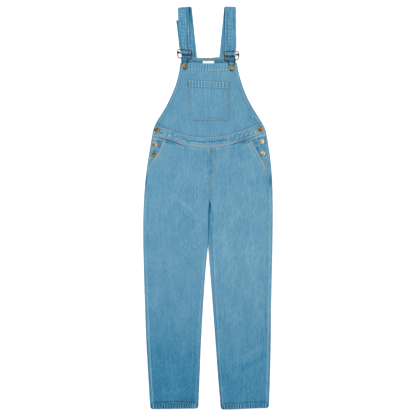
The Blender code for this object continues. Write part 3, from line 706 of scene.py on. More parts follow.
def label_tape():
    """White woven tape with fine ribs."""
    m = Nodes("woven_tape")
    cloth = m.attribute("cloth", "Vector")
    parts = m.add("ShaderNodeSeparateXYZ", {0: cloth})
    ribs = m.math("SINE", m.math("MULTIPLY", parts.outputs[1], 2 * math.pi / 0.7))
    shade = m.math("ADD", m.noise(cloth, (1.2, 0.8, 5), 2.0), m.math("MULTIPLY", ribs, 0.12))
    shade = m.math("ADD", shade, 0.5)
    relief = m.add("ShaderNodeBump", {"Height": ribs, "Strength": 0.5, "Distance": 0.1 * MM})
    colour = m.ramp(shade, [(0.2, linear(197, 193, 181)), (0.8, linear(224, 222, 214))])
    return m.finish(Base_Color=colour, Roughness=0.8, Sheen_Weight=0.2, Normal=relief.outputs[0])


def plain(name, colour):
    m = Nodes(name)
    return m.finish(Base_Color=(*colour, 1.0), Roughness=0.9, Specular_IOR_Level=0.1)


# ---------------------------------------------------------------- meshes


def piece(name, points, faces, look, slot, **fields):
    """A mesh object that rides on the garment's one body. Fields become point attributes."""
    mesh = bpy.data.meshes.new(name)
    mesh.from_pydata((np.asarray(points, float) * MM).tolist(), [], [list(f) for f in faces])
    for key, values in fields.items():
        values = np.asarray(values, float)
        vector = values.ndim == 2
        made = mesh.attributes.new(key, "FLOAT_VECTOR" if vector else "FLOAT", "POINT")
        made.data.foreach_set("vector" if vector else "value", values.ravel())
    mesh.materials.append(look)
    mesh.shade_smooth()
    mesh.set_sharp_from_angle(angle=math.radians(50))
    made = bpy.data.objects.new(name, mesh)
    bpy.context.scene.collection.objects.link(made)
    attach(made, "root")
    return made


def grid_faces(rows, columns):
    index = np.arange(rows * columns).reshape(rows, columns)
    corners = (index[:-1, :-1], index[:-1, 1:], index[1:, 1:], index[1:, :-1])
    return index, np.stack(corners, -1).reshape(-1, 4)


def shell(name, face, back, cloth, tone, look=None, slot="denim", inside=-0.04, tan=0.0):
    """A closed wall of cloth between two grids of points, with its weave and its tones."""
    rows, columns = face.shape[:2]
    index, quads = grid_faces(rows, columns)
    count = rows * columns
    border = np.concatenate([index[0], index[1:, -1], index[-1, -2::-1], index[-2:0:-1, 0]])
    after = np.roll(border, -1)
    rim = np.stack([after, border, border + count, after + count], -1)
    faces = np.concatenate([quads, quads[:, ::-1] + count, rim])
    i, j = rows // 2, columns // 2
    normal = np.cross(face[i, j + 1] - face[i, j], face[i + 1, j + 1] - face[i, j])
    if np.dot(normal, face[i, j] - back[i, j]) < 0:
        faces = faces[:, ::-1]
    points = np.concatenate([face.reshape(-1, 3), back.reshape(-1, 3)])
    weave = np.concatenate([cloth.reshape(-1, 3)] * 2)
    tones = np.concatenate([tone.ravel(), tone.ravel() + inside])
    tans = np.concatenate([np.broadcast_to(tan, tone.shape).ravel()] * 2)
    made = piece(name, points, faces, look or LOOKS["denim"], slot, cloth=weave, tone=tones, tan=tans)
    across = cloth[..., 0].max() - cloth[..., 0].min()
    along = cloth[..., 1].max() - cloth[..., 1].min()
    u, v = cloth[:-1, 1:] - cloth[:-1, :-1], cloth[1:, :-1] - cloth[:-1, :-1]
    flat = np.abs(u[..., 0] * v[..., 1] - u[..., 1] * v[..., 0]).sum()
    made["cut"] = (across * MM, along * MM, min(flat, across * along) * MM**2)
    return made


def lay(made, replaces):
    """Hides the solid that a shell of cloth stands for."""
    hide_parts(replaces)


def flat_shell(node, x, y, z, under, cloth, tone, tan=0.0):
    """A shell between two heights over one plan, laid in the place of its solid."""
    face, back = (np.stack(np.broadcast_arrays(x, y, height), -1) for height in (z, under))
    lay(shell(f"cloth_{node}", face, back, cloth, tone, tan=tan), node)


def spread(start, end, near, step):
    """Places between two borders, one row for each pair: close at both ends, even between."""
    start, end = np.atleast_1d(np.asarray(start, float)), np.atleast_1d(np.asarray(end, float))
    sign = np.sign(end - start)[:, None]
    low = start[:, None] + sign * np.array(near)
    high = (end[:, None] - sign * np.array(near))[:, ::-1]
    count = max(1, math.ceil(np.abs(high[:, 0] - low[:, -1]).max() / step))
    shares = np.linspace(0, 1, count + 1)[1:-1]
    return np.concatenate([low, blend(low[:, -1:], high[:, :1], shares), high], axis=1)


def from_sides(x):
    """Distance of each point from the nearer end of its row."""
    return np.minimum(np.abs(x - x[:, :1]), np.abs(x - x[:, -1:]))


def turned_edge(*distances):
    """How far the face of a cloth drops towards its turned edges, given its distances from them."""
    near = np.clip(np.minimum.reduce(np.broadcast_arrays(*distances)) / EDGE, 0.0, 1.0)
    return EDGE * (1 - np.sqrt(1 - (1 - near) ** 2))


def ditch(distance, at, depth=0.22, width=1.1):
    """A seam's stitches pull the cloth down along a line at this distance from an edge."""
    return -depth * bump(distance, at, width)


def join_cloth(x, y, seed):
    """The weave's own coordinates: across and along the cloth, and a place of its own."""
    return np.stack(np.broadcast_arrays(x, y, float(seed * 97)), -1)


# ---------------------------------------------------------------- cloth


def row_y(side, level, x, band):
    edge = float(outer_edge(side, BAND_FOOT))
    to_band = read(BANDS, band, x) - read(BANDS, band, edge)
    to_hem = hem_line(side, x) - hem_line(side, edge)
    at_band, at_hem = smooth(STRAIGHT_ROWS, BAND_FOOT, level), smooth(-500, -720, level)
    return level + to_band * at_band + to_hem * at_hem


def meet(side, level, border, band):
    """Where each row meets a border that is given as a function of y."""
    y = level
    for _ in range(12):
        x = border(side, y)
        y = row_y(side, level, x, band)
    return x, y


def leg_levels(side, band):
    edge = float(outer_edge(side, BAND_FOOT))
    top, hem = float(read(BANDS, band, edge)) - WAISTBAND, float(hem_line(side, edge))
    return spread(top + LAP, hem, NEAR_EDGE, LEG_STEP)[0]


def leg_tone(side, x, y):
    """Tone of a leg: paler on the thigh, darker towards the hem, and uneven all over."""
    tone = read(TONES, side, y) + 0.012 * cloudy(x, y, 60, 3) + 0.01 * cloudy(x, y, 23, 4)
    return tone + crease_tone(x, y)


def seam_light(side, from_edge, y):
    """Worn ridge along the outseam, stronger towards the hem; dark at the end of the opening."""
    low = smooth(-80, -640, y)
    if side == "right":
        light = (0.03 + 0.30 * low) * bump(from_edge, 10.6, 2.5)
        return light - 0.26 * bump(from_edge, 3.5, 3.5) * bump(y, 96, 28)
    line = blend(9.2, 10.6, smooth(-380, -480, y))
    light = (0.08 + 0.14 * low) * bump(from_edge, line, 2.5)
    return light - 0.34 * bump(from_edge, 7.0, 5.0) * bump(y, 97, 24)


def hem_relief(side, x, from_hem, from_in):
    """Relief and tone of a front leg's turned hem, and where the hem is."""
    out, stitch = outward(side), hem_stitch(side, x)
    hem = 1 - smooth(stitch + HEM_MARGIN, stitch + HEM_MARGIN + HEM_STEP, from_hem)
    inside = 1 - smooth(stitch - 3, stitch - 0.5, from_hem)
    rope = bars(x + 0.15 * from_hem, 8.3, 31 + out)
    z = HEM_RAISE * hem + 0.5 * inside * rope * smooth(0, 5, from_hem) + ditch(from_hem, stitch)
    tone = inside * (0.48 * rope - 0.035) - 0.17 * bump(from_hem, stitch + 3.6, 2.4)
    tone -= 0.11 * bump(from_hem, stitch - 2.4, 1.2)
    tone += 0.05 * bars(x, 8.3, 31 + out) * bump(from_hem, stitch + 9, 5)
    if side == "right":
        tone += 0.16 * inside * bump(from_in, 4.0, 14.0)
    return z, tone, hem


def outseam_relief(side, x, y, from_out, at_side, hem):
    """Relief and tone along the outseam: puckers, and dashes where the thread pulls."""
    out, reach = outward(side), OUTSEAM_DASHES[side]
    puckers = bars(y - 0.5 * from_out, 9.6, 5 + out)
    uneven = 0.6 + 0.5 * ripple(y, 31, 9 + out)
    faint = np.clip(-bars(y, 12.5, 7 + out), 0.0, 1.0)
    dashes = np.clip(0.1 - puckers, 0.0, 1.0) * bump(from_out, reach, 2.3) * at_side * (1 - hem)
    z = 0.35 * puckers * bump(from_out, 3.0, 4.5) - 0.25 * dashes - 0.4 * bump(from_out, 0.0, 0.9)
    tone = 0.06 * bump(from_out, 1.5, 2.0) * puckers - 0.07 * faint * bump(from_out, reach + 9, 2.5)
    tone += seam_light(side, np.abs(outer_edge(side, y) - x), y)
    return at_side * z, at_side * tone - 0.36 * dashes * uneven


def inseam_relief(side, y, from_in):
    """Relief and tone along the inseam, below the crotch."""
    puckers = bars(y, 9.1, 15 + outward(side))
    below, free = smooth(CROTCH, CROTCH - 20, y), smooth(-115, -165, y)
    z = below * (0.2 * puckers * bump(from_in, 3.0, 4.0) - 0.4 * bump(from_in, 0.0, 0.9))
    # The edge by the gap between the legs is darkened: painted shade
    if side == "left":
        near = smooth(-330, -180, y) * smooth(-25, -75, y)
        tone = (0.16 + 0.05 * puckers) * bump(from_in, 4.6, 1.8) * free
        return z, tone - (0.08 * below + 0.17 * near) * bump(from_in, -0.3, 2.2)
    tone = (0.15 + 0.05 * puckers) * bump(from_in, 3.2, 2.2) * free
    return z, tone - 0.05 * bump(from_in, 0.0, 1.4) * free


def fly_relief(x, y, from_in, puckers):
    """Relief and tone of the mock fly: a raised facing with stitches round it."""
    lump = cloudy(x, y, 13, 33)
    fly = (1 - smooth(FLY_WIDTH, FLY_WIDTH + 3, from_in)) * smooth(FLY_END, FLY_END + 14, y)
    z = 0.4 * bump(from_in, 3.5, 3.2) + ditch(from_in, 8.6) - 0.3 * bump(from_in, 0, 0.8)
    z += fly * (FLY_RAISE + 0.35 * lump * smooth(4, 14, from_in))
    deep = smooth(FLY_END + 14, FLY_END + 50, y) * (1 - smooth(192, 204, y))
    tone = 0.03 * bump(from_in, 3.5, 2.6) - 0.08 * bump(from_in, 9.6, 1.8)
    tone += fly * (0.06 * lump - 0.03)
    tone += 0.07 * bump(from_in, FLY_WIDTH - 0.5, 2.2) * smooth(FLY_END + 5, FLY_END + 30, y)
    tone += 0.12 * np.minimum(puckers, 0.25) * bump(from_in, 12.5, 3.6)
    tone -= 0.09 * (0.7 + 0.8 * ripple(y, 11, 35)) * deep * bump(from_in, 9.0, 4.6)
    return z, tone - 0.10 * bump(from_in, 4.5, 3.2) * smooth(FLY_END, FLY_END - 12, y)


def centre_relief(side, x, y, from_in):
    """Relief and tone along the centre seam, with the mock fly on the wearer's left."""
    above = 1 - smooth(CROTCH, CROTCH - 8, y)
    puckers = bars(y, 8.6, 21)
    if side == "left":
        z, tone = fly_relief(x, y, from_in, puckers)
    else:
        z = -0.45 * bump(from_in, 0.0, 1.0)
        tone = -0.12 * bump(from_in, 0.0, 1.8) * (1 - 0.8 * smooth(185, 199, y))
    tone += (0.12 * np.minimum(puckers, 0.2) - 0.04) * bump(from_in, 0.5, 3.5) * smooth(112, 92, y)
    return above * z, above * tone


def pocket_relief(side, y, from_out):
    """Relief, tone and tan along the edge of the slanted pocket."""
    rope = bars(y, 8.4, 37 + outward(side))
    first, second = POCKET_ROWS[side]
    middle = (first + second) / 2
    z = ditch(from_out, first) + ditch(from_out, second) + 0.25 * bump(from_out, middle, 3)
    if side == "left":
        tone = 0.15 * bump(from_out, 17.5, 2.4) - (0.26 - 0.08 * rope) * bump(from_out, 12.4, 2.0)
        tone += 0.10 * bump(from_out, 7.0, 2.6) - 0.10 * bump(from_out, 0.2, 1.4)
        return z, tone, (0.14 + 0.14 * bump(y, 155, 14)) * bump(from_out, 7.5, 5.5)
    tone = (0.05 + 0.04 * rope) * bump(from_out, 5.0, 7.0) - 0.05 * bump(from_out, 14.0, 2.4)
    return z, tone, 0.14 * bump(from_out, 7.0, 5.5)


def band_relief(side, x, from_band):
    """Relief and tone where a front leg is sewn to the waistband."""
    puckers = bars(x, 8.2, 41)
    corner = abs(float(pocket_edge(side, POCKET_TOP[side])))
    # Along the top of the front leg, painted shadow of the waistband's edge, deeper towards the sides
    band_shadow = 0.08 + 0.42 * smooth(66, 105, np.abs(x))
    z = (0.3 + 0.25 * puckers) * bump(from_band, 5.0, 3.5) - 0.35 * bump(from_band, 0.0, 1.0)
    fading = 1.1 - smooth(40, corner, np.abs(x))
    ridge = (0.11 + 0.07 * puckers) * bump(from_band, 5.0, 2.2) * fading
    return z, (0.06 * puckers - band_shadow) * bump(from_band, 0.8, 2.5) + ridge


def front_face(side, x, y):
    """Height of the outer face of a front leg, its tone and its share of tan."""
    out = outward(side)
    from_out = out * (front_outer(side, y) - x)
    from_in = out * (x - front_inner(side, y))
    at_pocket = smooth(POCKET_END[side] - 3, POCKET_END[side] + 3, y)
    hem_z, hem_tone, hem = hem_relief(side, x, y - hem_line(side, x), from_in)
    pocket_z, pocket_tone, tan = pocket_relief(side, y, from_out)
    z = front_level(side, x, y) + CLOTH + hem_z + at_pocket * pocket_z
    tone = leg_tone(side, x, y) + hem_tone + at_pocket * pocket_tone
    for more_z, more_tone in (
        outseam_relief(side, x, y, from_out, 1 - at_pocket, hem),
        inseam_relief(side, y, from_in),
        centre_relief(side, x, y, from_in),
        band_relief(side, x, band_top(x) - WAISTBAND - y),
    ):
        z, tone = z + more_z, tone + more_tone
    # Painted shadow under the waistband
    tone += sum(shade.tone * near_line(x, y, shade) for shade in WAISTBAND_SHADOWS)
    return z, tone, at_pocket * tan + stain(x, y) + 0.22 * smooth(185, 199, y) * bump(x, 0.5, 5.0)


def leg_plan(side, levels, inner, outer, near, step):
    """Plan of a piece of a leg between two borders, close at both."""
    x_in, x_out = (meet(side, levels, border, "front")[0] for border in (inner, outer))
    x = spread(x_in, x_out, near, step)
    return x, row_y(side, levels[:, None], x, "front")


def front_leg(side):
    """Front of one leg, cut away along the slanted pocket."""
    out = outward(side)

    def inner(side, y):
        return front_inner(side, y) - out * LAP

    def outer(side, y):
        return front_outer(side, y) + out * LAP * (np.asarray(y) < POCKET_END[side])

    x, y = leg_plan(side, leg_levels(side, "front"), inner, outer, NEAR_SEAM, MIDDLE_STEP)
    z, tone, tan = front_face(side, x, y)
    free = np.where(y > POCKET_END[side], np.abs(x - x[:, -1:]), 99.0)
    z -= turned_edge(free, np.abs(y - y[-1:]))
    cloth = join_cloth(x, y, 1 if side == "left" else 2)
    flat_shell(f"leg_front_{side}", x, y, z, front_level(side, x, y), cloth, tone, tan)


def strip_face(side, y, from_edge, from_tip, inside):
    """Relief and tone of the part of the back that shows on the front beside a long seam."""
    puckers = bars(y + 0.6 * from_tip, 8.6, 51 + outward(side))
    relief = 0.2 * puckers * smooth(0.5, 4, from_edge) + 0.3 * bump(from_tip, 2.6, 2.4)
    relief = relief - 0.2 * bump(from_tip, 0.0, 0.5)
    # On the inner side, painted shade of the gap between the legs: darkened along the edge, deepest
    # near the crotch, and on the left over the whole strip
    crotch = smooth(-118, -55, y)
    dark = (0.05 + (0.36 if side == "left" else 0.2) * crotch) * bump(from_edge, 0.0, 2.6)
    if side == "left":
        dark = dark + 0.10 * smooth(-200, -110, y) + 0.07 * smooth(-240, -330, y)
        dark = dark + 0.1 * bump(from_tip, 0.0, 2.2)
    outside = seam_light(side, from_edge, y) + 0.04 * puckers
    return relief, np.where(inside, 0.03 * puckers - dark, outside)


def back_leg(side):
    """Back of one leg, lying on the floor and wrapped round the edges to the seams on the front."""
    out, radius = outward(side), SIDE_FOLD / 2
    levels = leg_levels(side, "back")
    edge = outer_edge(side, levels)
    seam_inset = read(LEGS, side + "_outseam", levels) + LAP
    starts = smooth(POCKET_END[side] + 15, POCKET_END[side] - 3, levels)
    inset = blend(PLACKET_INSET, seam_inset, starts)
    inner, low = meet(side, levels, inner_edge, "back")
    covered = np.abs(inseam(side, low) - inner) + LAP
    wrapped = np.degrees(np.arctan2(radius - CLOTH, np.maximum(0.0, radius - covered)))
    turned = 90 * smooth(CROTCH + 8, CROTCH, levels) + np.where(levels < CROTCH, wrapped, 0.0)
    seam = meet(side, levels, lambda _, y: read(CENTRES, "back", y) - out * LAP * 0.5, "back")[0]
    last = np.where(turned > 0, inner + out * radius, seam)
    reach = np.where(turned >= 179.9, np.maximum(0.0, covered - radius), 0.0)
    top, tip = edge - out * radius, edge - out * inset
    edge, inner, top, tip, last, turned, reach = (
        values[:, None] for values in (edge, inner, top, tip, last, turned, reach)
    )

    first = np.array([0.0, 0.03, 0.08, 0.16, 0.28, 0.42, 0.58, 0.74, 0.88])
    ends = np.array([0.12, 0.26, 0.42, 0.58, 0.72, 0.84, 0.93, 0.98, 1.0])
    arc, flat = np.linspace(0, 1, 10), np.linspace(0, 1, 18)[1:-1]
    stretches = (  # x, angle round the edge, and 1 where the cloth goes round it
        (blend(tip, top, first), 90.0, 0.0),
        (top + 0 * arc, 90 - 180 * arc, 1.0),
        (blend(top, last, flat), -90.0, 0.0),
        (last + 0 * arc, -90 - turned * arc, 1.0),
        (last + out * reach * ends, -90 - turned, np.where(reach > 0, 0.0, 1.0)),
    )
    columns = zip(*(np.broadcast_arrays(*stretch) for stretch in stretches))
    at, angle, bulge = (np.concatenate(parts, axis=1) for parts in columns)
    turn = np.radians(angle)

    def ring(r):
        return at + out * bulge * r * np.cos(turn), radius + r * np.sin(turn)

    x, z = ring(radius)
    y = row_y(side, levels[:, None], x, "back")
    on_top = z > radius
    outer_side = np.arange(x.shape[1]) < len(first) + len(arc)
    from_edge = np.abs(x - np.where(outer_side, edge, inner))
    from_tip = np.abs(x - np.where(outer_side, tip, last + out * reach))
    relief, extra = strip_face(side, y, from_edge, from_tip, ~outer_side)
    weight = np.where(on_top, smooth(radius, SIDE_FOLD - 0.2, z), 0.0)
    touching = np.where(outer_side, 0.0, np.maximum(0.0, -np.cos(turn))) * smooth(-165, -125, y)
    x, z = ring(radius + relief * weight + 0.38 * touching)
    band = hem_stitch(side, x) + HEM_MARGIN
    hem = weight * (1 - smooth(band, band + HEM_STEP, y - hem_line(side, x)))
    # Where the legs touch, the hidden side of the edge is darkened: painted shade
    tone = leg_tone(side, x, y) - 0.01 + extra * weight - 0.5 * touching * (1 - weight)
    tone += hem * (0.2 * bars(x, 6.0, 61) - 0.08)
    z += 0.35 * hem
    steps = np.hypot(np.diff(x), np.diff(z))
    path = np.concatenate([0 * edge, np.cumsum(steps, 1)], 1)
    cloth = join_cloth(path - 120, y, 3 if side == "left" else 4)
    qx, qz = ring(radius - CLOTH)
    face, back = np.stack([x, y, z], -1), np.stack([qx, y, qz], -1)
    made = shell(f"cloth_leg_back_{side}", face, back, cloth, tone, tan=stain(x, y) * on_top)
    lay(made, f"leg_back_{side}")


def buttonholes(x, y, halo):
    """Slits of the side buttonholes, and the shade this wide that lies round the buttons."""
    slits, shades = 0.0, 0.0
    for button in SIDE_BUTTONS:
        inward = -1 if button.x > 0 else 1
        along, away = inward * (x - button.x), y - button.y
        slit = bump(away, 0.0, 0.55) * smooth(3, 5, along)
        slits = slits + slit * (1 - smooth(BUTTONHOLE - 1.5, BUTTONHOLE, along))
        shades = shades + bump(np.hypot(x - button.x, away), 7.5, halo)
    return slits, shades


def hip_face(side, x, y):
    out = outward(side)
    from_side = out * (outer_edge(side, y) - out * PLACKET_INSET - x)
    from_pocket = out * (x - pocket_edge(side, y))
    from_band = band_top(x) - WAISTBAND - y
    lump, rope = cloudy(x, y, 9, 12), bars(x, 8.5, 47)
    slits, shades = buttonholes(x, y, 3.5)
    z = front_level(side, x, y) - SEAM + ditch(from_side, 2.2) + 0.18 * lump
    z += 0.3 * bump(from_band, 6.5, 3.0) - 0.9 * slits
    tone = leg_tone(side, x, y) - 0.005 + 0.06 * bump(from_side, 0.4, 1.6)
    tone += 0.13 * lump + 0.11 * cloudy(x, y, 5, 13) + 0.05 * cloudy(x, y, 14, 16)
    # Beside the pocket's edge the hip piece is darkened: painted shade of the edge that lies over it
    if side == "left":
        tone -= 0.16 * bump(from_pocket, 0.0, 1.8) * smooth(158, 172, y)
        tone -= 0.14 * bump(from_pocket, 6.0, 7.0) * smooth(185, 205, y)
    else:
        tone = tone - 0.05 * bump(from_pocket, 0.0, 2.6) - 0.07 * bump(from_pocket, 5.0, 8.0)
    # Just below the waistband, painted shadow of its edge, then a lighter ridge
    tone += (0.06 * rope - 0.2) * bump(from_band, 0.5, 2.4) + 0.24 * bump(from_band, 6.0, 2.4)
    return z, tone - 0.07 * bump(from_band, 14, 5) - 0.45 * slits - 0.05 * shades


def hip_piece(side):
    """Cloth behind the slanted pocket, with the buttonholes."""
    out = outward(side)
    levels = leg_levels(side, "front")
    levels = levels[levels > POCKET_END[side] - 3]

    def inner(side, y):
        return pocket_edge(side, y) - out * HIP_UNDERLAP

    def outer(side, y):
        return outer_edge(side, y) - out * PLACKET_INSET

    x, y = leg_plan(side, levels, inner, outer, NEAR_EDGE, 1.6)
    z, tone = hip_face(side, x, y)
    z -= turned_edge(np.abs(x - x[:, -1:]), np.abs(y - y[-1:]))
    under = front_level(side, x, y) - SEAM - CLOTH
    cloth = join_cloth(x, y, 5 if side == "left" else 6)
    flat_shell(f"hip_{side}", x, y, z, under, cloth, tone)


def band_face(x, y):
    """Height and tone of the outer face of the front waistband."""
    down = band_top(x) - y
    rope = bars(x + 0.3 * down, 8.2, 71)
    lower = bars(x - 0.25 * down, 7.4, 74)
    wander = down - 18.0 - 2.2 * ripple(x, 17, 77)
    middle = smooth(-98, -62, x) * (1 - smooth(60, 96, x))
    valley = bump(wander, 0.0, 1.7) * (0.12 + 0.88 * middle) * smooth(-1.4, -0.3, ripple(x, 11, 79))
    top, foot = bump(down, 8.5, 6.0), smooth(24, 31, down)
    lump = cloudy(x, down * 1.3, 10, 78)
    z = band_level(x, y) + DOUBLE + (0.42 * rope * top + 0.35 * lower * foot) * smooth(0, 3, down)
    z = z - 0.45 * valley + 0.3 * bump(wander, 6.0, 3.6) * (1 + 0.5 * lump)
    lumpy = (1 - 0.6 * middle) * smooth(3, 8, down) * (1 - smooth(28, 34, down))
    blotch = cloudy(x + 0.5 * down, 1.1 * down, 6.5, 73) + 0.5 * cloudy(x, down, 4.0, 75)
    z += 0.25 * lumpy * blotch
    z += sum(ditch(down, row) for row in WAIST_ROWS)
    tone = BIB_TONE - 0.015 + 0.012 * cloudy(x, y, 45, 8) + 0.26 * rope * top * (0.6 + 0.4 * middle)
    tone += 0.22 * lower * foot * (1 - 0.5 * middle) + 0.20 * lumpy * blotch
    tone = tone - 0.38 * valley + (0.05 + 0.11 * lump) * bump(wander, 6.0, 3.2)
    tone += 0.04 * bump(down, 0.4, 1.7) - 0.10 * bump(down, 3.0, 1.6)
    tone += 0.07 * bump(down, WAISTBAND - 0.6, 1.5) + 0.05 * foot
    tone -= 0.10 * bump(down, WAISTBAND - 5.5, 1.2) * (0.6 + 0.4 * lower)
    tone -= 0.12 * bump(down, WAISTBAND - 12, 1.6) * (0.7 + 0.5 * ripple(x, 12, 76))
    tone -= 0.18 * bump(down, 31.0, 7.0) * (1.3 * bump(x, 126.0, 18.0) + 0.9 * bump(x, -132.0, 14.0))
    tan = 0.24 * bump(down, 3.2, 2.4) + (0.16 + 0.10 * lower) * bump(down, WAISTBAND - 5.5, 4.0)
    slits, shades = buttonholes(x, y, 4)
    return z - 0.9 * slits, tone - 0.45 * slits - 0.07 * shades, tan


def band_plan(band, ends_inset, downs, step):
    rows = len(downs)
    x = spread(np.full(rows, -202.0), np.full(rows, 208.0), NEAR_EDGE, step)
    share = (x - x[:, :1]) / (x[:, -1:] - x[:, :1])
    y = read(BANDS, band, x) - downs[:, None]
    for _ in range(8):
        low, high = outer_edge("right", y) + ends_inset, outer_edge("left", y) - ends_inset
        x = blend(low, high, share)
        y = read(BANDS, band, x) - downs[:, None]
    return x, y


def waistband_front():
    downs = spread(0.0, WAISTBAND, NEAR_EDGE, 1.6)[0]
    x, y = band_plan("front", 0.0, downs, 1.7)
    z, tone, tan = band_face(x, y)
    z -= turned_edge(from_sides(x), np.abs(y - y[:1]), np.abs(y - y[-1:]))
    under, cloth = band_level(x, y), join_cloth(y, x, 7)
    flat_shell("waistband_front", x, y, z, under, cloth, tone, tan)


def waistband_back():
    downs = spread(0.0, WAISTBAND, NEAR_EDGE, 4.0)[0]
    x, y = band_plan("back", 0.4, downs, 4.0)
    rope = bars(x, 7.1, 77)
    z = DOUBLE - 0.12 * (1 + rope) * smooth(0, 3, downs[:, None]) - turned_edge(from_sides(x))
    tone = BIB_TONE - 0.05 + 0.06 * rope
    flat_shell("waistband_back", x, y, z, 0.0, join_cloth(y, x, 8), tone)


def bib_face(x, y):
    """Height and tone of the outer face of the front bib."""
    down = bib_neck(x) - y
    side_in = by_side(x, lambda side: np.abs(bib_edge(side, y) - x))
    slope = by_side(x, lambda side: np.abs(bib_edge(side, y + 2) - bib_edge(side, y - 2)) / 4)
    side_in = side_in / np.sqrt(1 + slope**2)
    up = y - band_top(x)
    band = 1 - smooth(BIB_HEM, BIB_HEM + HEM_STEP, down)
    rope = bars(x + 0.1 * down, 10.0, 81) + 0.4 * bars(x, 6.1, 84)
    z = bib_level(x, y) + CLOTH + (DOUBLE - CLOTH) * band
    z += 0.36 * rope * band * smooth(0, 4, down) + ditch(down, BIB_HEM - 1.5)
    tone = BIB_TONE + 0.012 * cloudy(x, y, 55, 14) + 0.012 * cloudy(x, y, 21, 15)
    tone += 0.05 * bump(down, BIB_HEM, 8.0)
    tone += band * (0.2 * rope - 0.03) * smooth(-2, 5, down)
    tone += 0.12 * bump(down, 0.4, 1.7) - 0.10 * bump(down, BIB_HEM + 2.2, 1.8)
    tone += 0.06 * bars(x, 9.0, 86) * bump(down, BIB_HEM + 6, 5)
    hem = 1 - smooth(9.0, 10.5, side_in)
    along = bars(y, 9.5, 91)
    stitched = by_side(x, BIB_STITCH.get)
    z += 0.35 * hem * (1 - band) + ditch(side_in, stitched) + 0.2 * along * hem
    tone += hem * 0.06 * np.minimum(along, 0.4) - 0.18 * bump(side_in, 0.8, 2.2)
    tone += 0.06 * bump(side_in, 5.0, 2.2) - 0.025 * smooth(72, 88, np.abs(x))
    tone -= (0.10 - 0.05 * along) * bump(side_in, stitched + 2.6, 1.8) * (1 - band)
    puckers = bars(x, 8.6, 95)
    z += 0.2 * puckers * bump(up, 2.5, 5.0) - 0.3 * bump(up, 0.0, 1.0)
    tone += (0.07 * puckers - 0.07) * bump(up, 1.0, 2.8)
    # Painted shade just outside the bib pocket's edge. Darker still beside its upper corner on the
    # wearer's right
    pocket_y = patch_y(x - PATCH_CENTRE, 0.0)
    beyond_x = np.abs(x - PATCH_CENTRE) - PATCH_WIDTH / 2
    beyond_y = np.maximum(y - pocket_y, PATCH_BOTTOM - y)
    beyond = np.maximum(beyond_x, beyond_y)
    tone -= 0.10 * bump(beyond, 0.8, 1.9)
    corner = bump(x - PATCH_CENTRE, -PATCH_WIDTH / 2 - 1.5, 2.2) * bump(y, PATCH_TOP - 12, 9)
    tone -= 0.2 * corner
    return z, tone + crease_tone(x, y)


def bib_plan(shares, top, bottom, inset, step):
    """Plan of a bib between its curved sides, its top edge and its bottom edge."""
    rows = len(shares)
    wide = spread(np.full(rows, -100.0), np.full(rows, 100.0), NEAR_EDGE, step * 0.66)
    across = (wide - wide[:, :1]) / (wide[:, -1:] - wide[:, :1])
    y = blend(BIB_TOP, 280.0, shares)[:, None] + 0 * across
    for _ in range(8):
        x = blend(bib_edge("right", y) + inset, bib_edge("left", y) - inset, across)
        y = blend(top(x), bottom(x), shares[:, None])
    return x, y


def bib_front():
    deep = 262.0
    shares = spread(0.0, deep, NEAR_EDGE, 2.3)[0] / deep
    x, y = bib_plan(shares, bib_neck, lambda x: band_top(x) - LAP, 0.0, 2.0)
    z, tone = bib_face(x, y)
    z -= turned_edge(from_sides(x), np.abs(y - y[:1]))
    flat_shell("bib_front", x, y, z, bib_level(x, y), join_cloth(x, y, 9), tone)


def bib_back():
    deep = 250.0
    downs = np.concatenate([spread(0.0, 30.0, NEAR_EDGE, 1.3)[0], np.linspace(36, deep, 40)])
    x, y = bib_plan(downs / deep, back_neck, lambda x: read(BANDS, "back", x), BACK_INSET, 3.0)
    down = back_neck(x) - y
    band = 1 - smooth(BACK_HEM, BACK_HEM + HEM_STEP, down)
    rope = bars(x, 9.5, 101)
    z = CLOTH + (DOUBLE - CLOTH) * band + 0.2 * rope * band * smooth(0, 4, down) - 0.15
    z += ditch(down, BACK_HEM - 2.0) - turned_edge(from_sides(x), np.abs(y - y[:1]))
    tone = BIB_TONE - 0.04 - 0.13 * (1 - smooth(36, 60, down)) + 0.09 * bump(down, 7.0, 2.0)
    tone += band * (0.17 * rope - 0.01) - 0.10 * bump(y, 527.6, 1.8)
    for side, buckle in BUCKLES.items():
        beside = np.abs(x - buckle.x)
        under, within = 1 - smooth(16, 21, beside), 1 - smooth(8.0, 12.0, beside)
        # Painted shadow of the strap's fold below the bar, painted shade inside the buckle's loop,
        # and on the wearer's right a dark line across the loop
        shaded = smooth(518, 531, y) * (1 - smooth(538, 544, y))
        tone -= 0.5 * under * bump(y, buckle.y - LOOP_DROP[side] - 4.0, 3.2)
        tone -= (0.05 if side == "right" else 0.09) * within * shaded
        if side == "right":
            tone -= 0.24 * within * bump(y, 541.5, 1.8)
    tan = 0.03 * band + 0.26 * bump(down, 1.0, 2.2)
    flat_shell("bib_back", x, y, z, 0.0, join_cloth(x, y, 10), tone, tan)


def patch_half(down):
    """Half width of the bib pocket at this distance from its top."""
    into = np.clip(down - (PATCH_DEEP - PATCH_CORNER), 0.0, PATCH_CORNER)
    return PATCH_WIDTH / 2 - (PATCH_CORNER - np.sqrt(PATCH_CORNER**2 - into**2))


def patch_y(offset, down):
    """Height of a place on the bib pocket, whose top edge leans more than its bottom."""
    lean = blend(PATCH_TOP_LEAN, PATCH_LEAN, smooth(0, 55, down))
    return PATCH_TOP + lean * offset - down


def patch_down(x, y):
    """Distance from the top of the bib pocket: the other way round."""
    down = PATCH_TOP - y
    for _ in range(6):
        down = down + patch_y(x - PATCH_CENTRE, down) - y
    return down


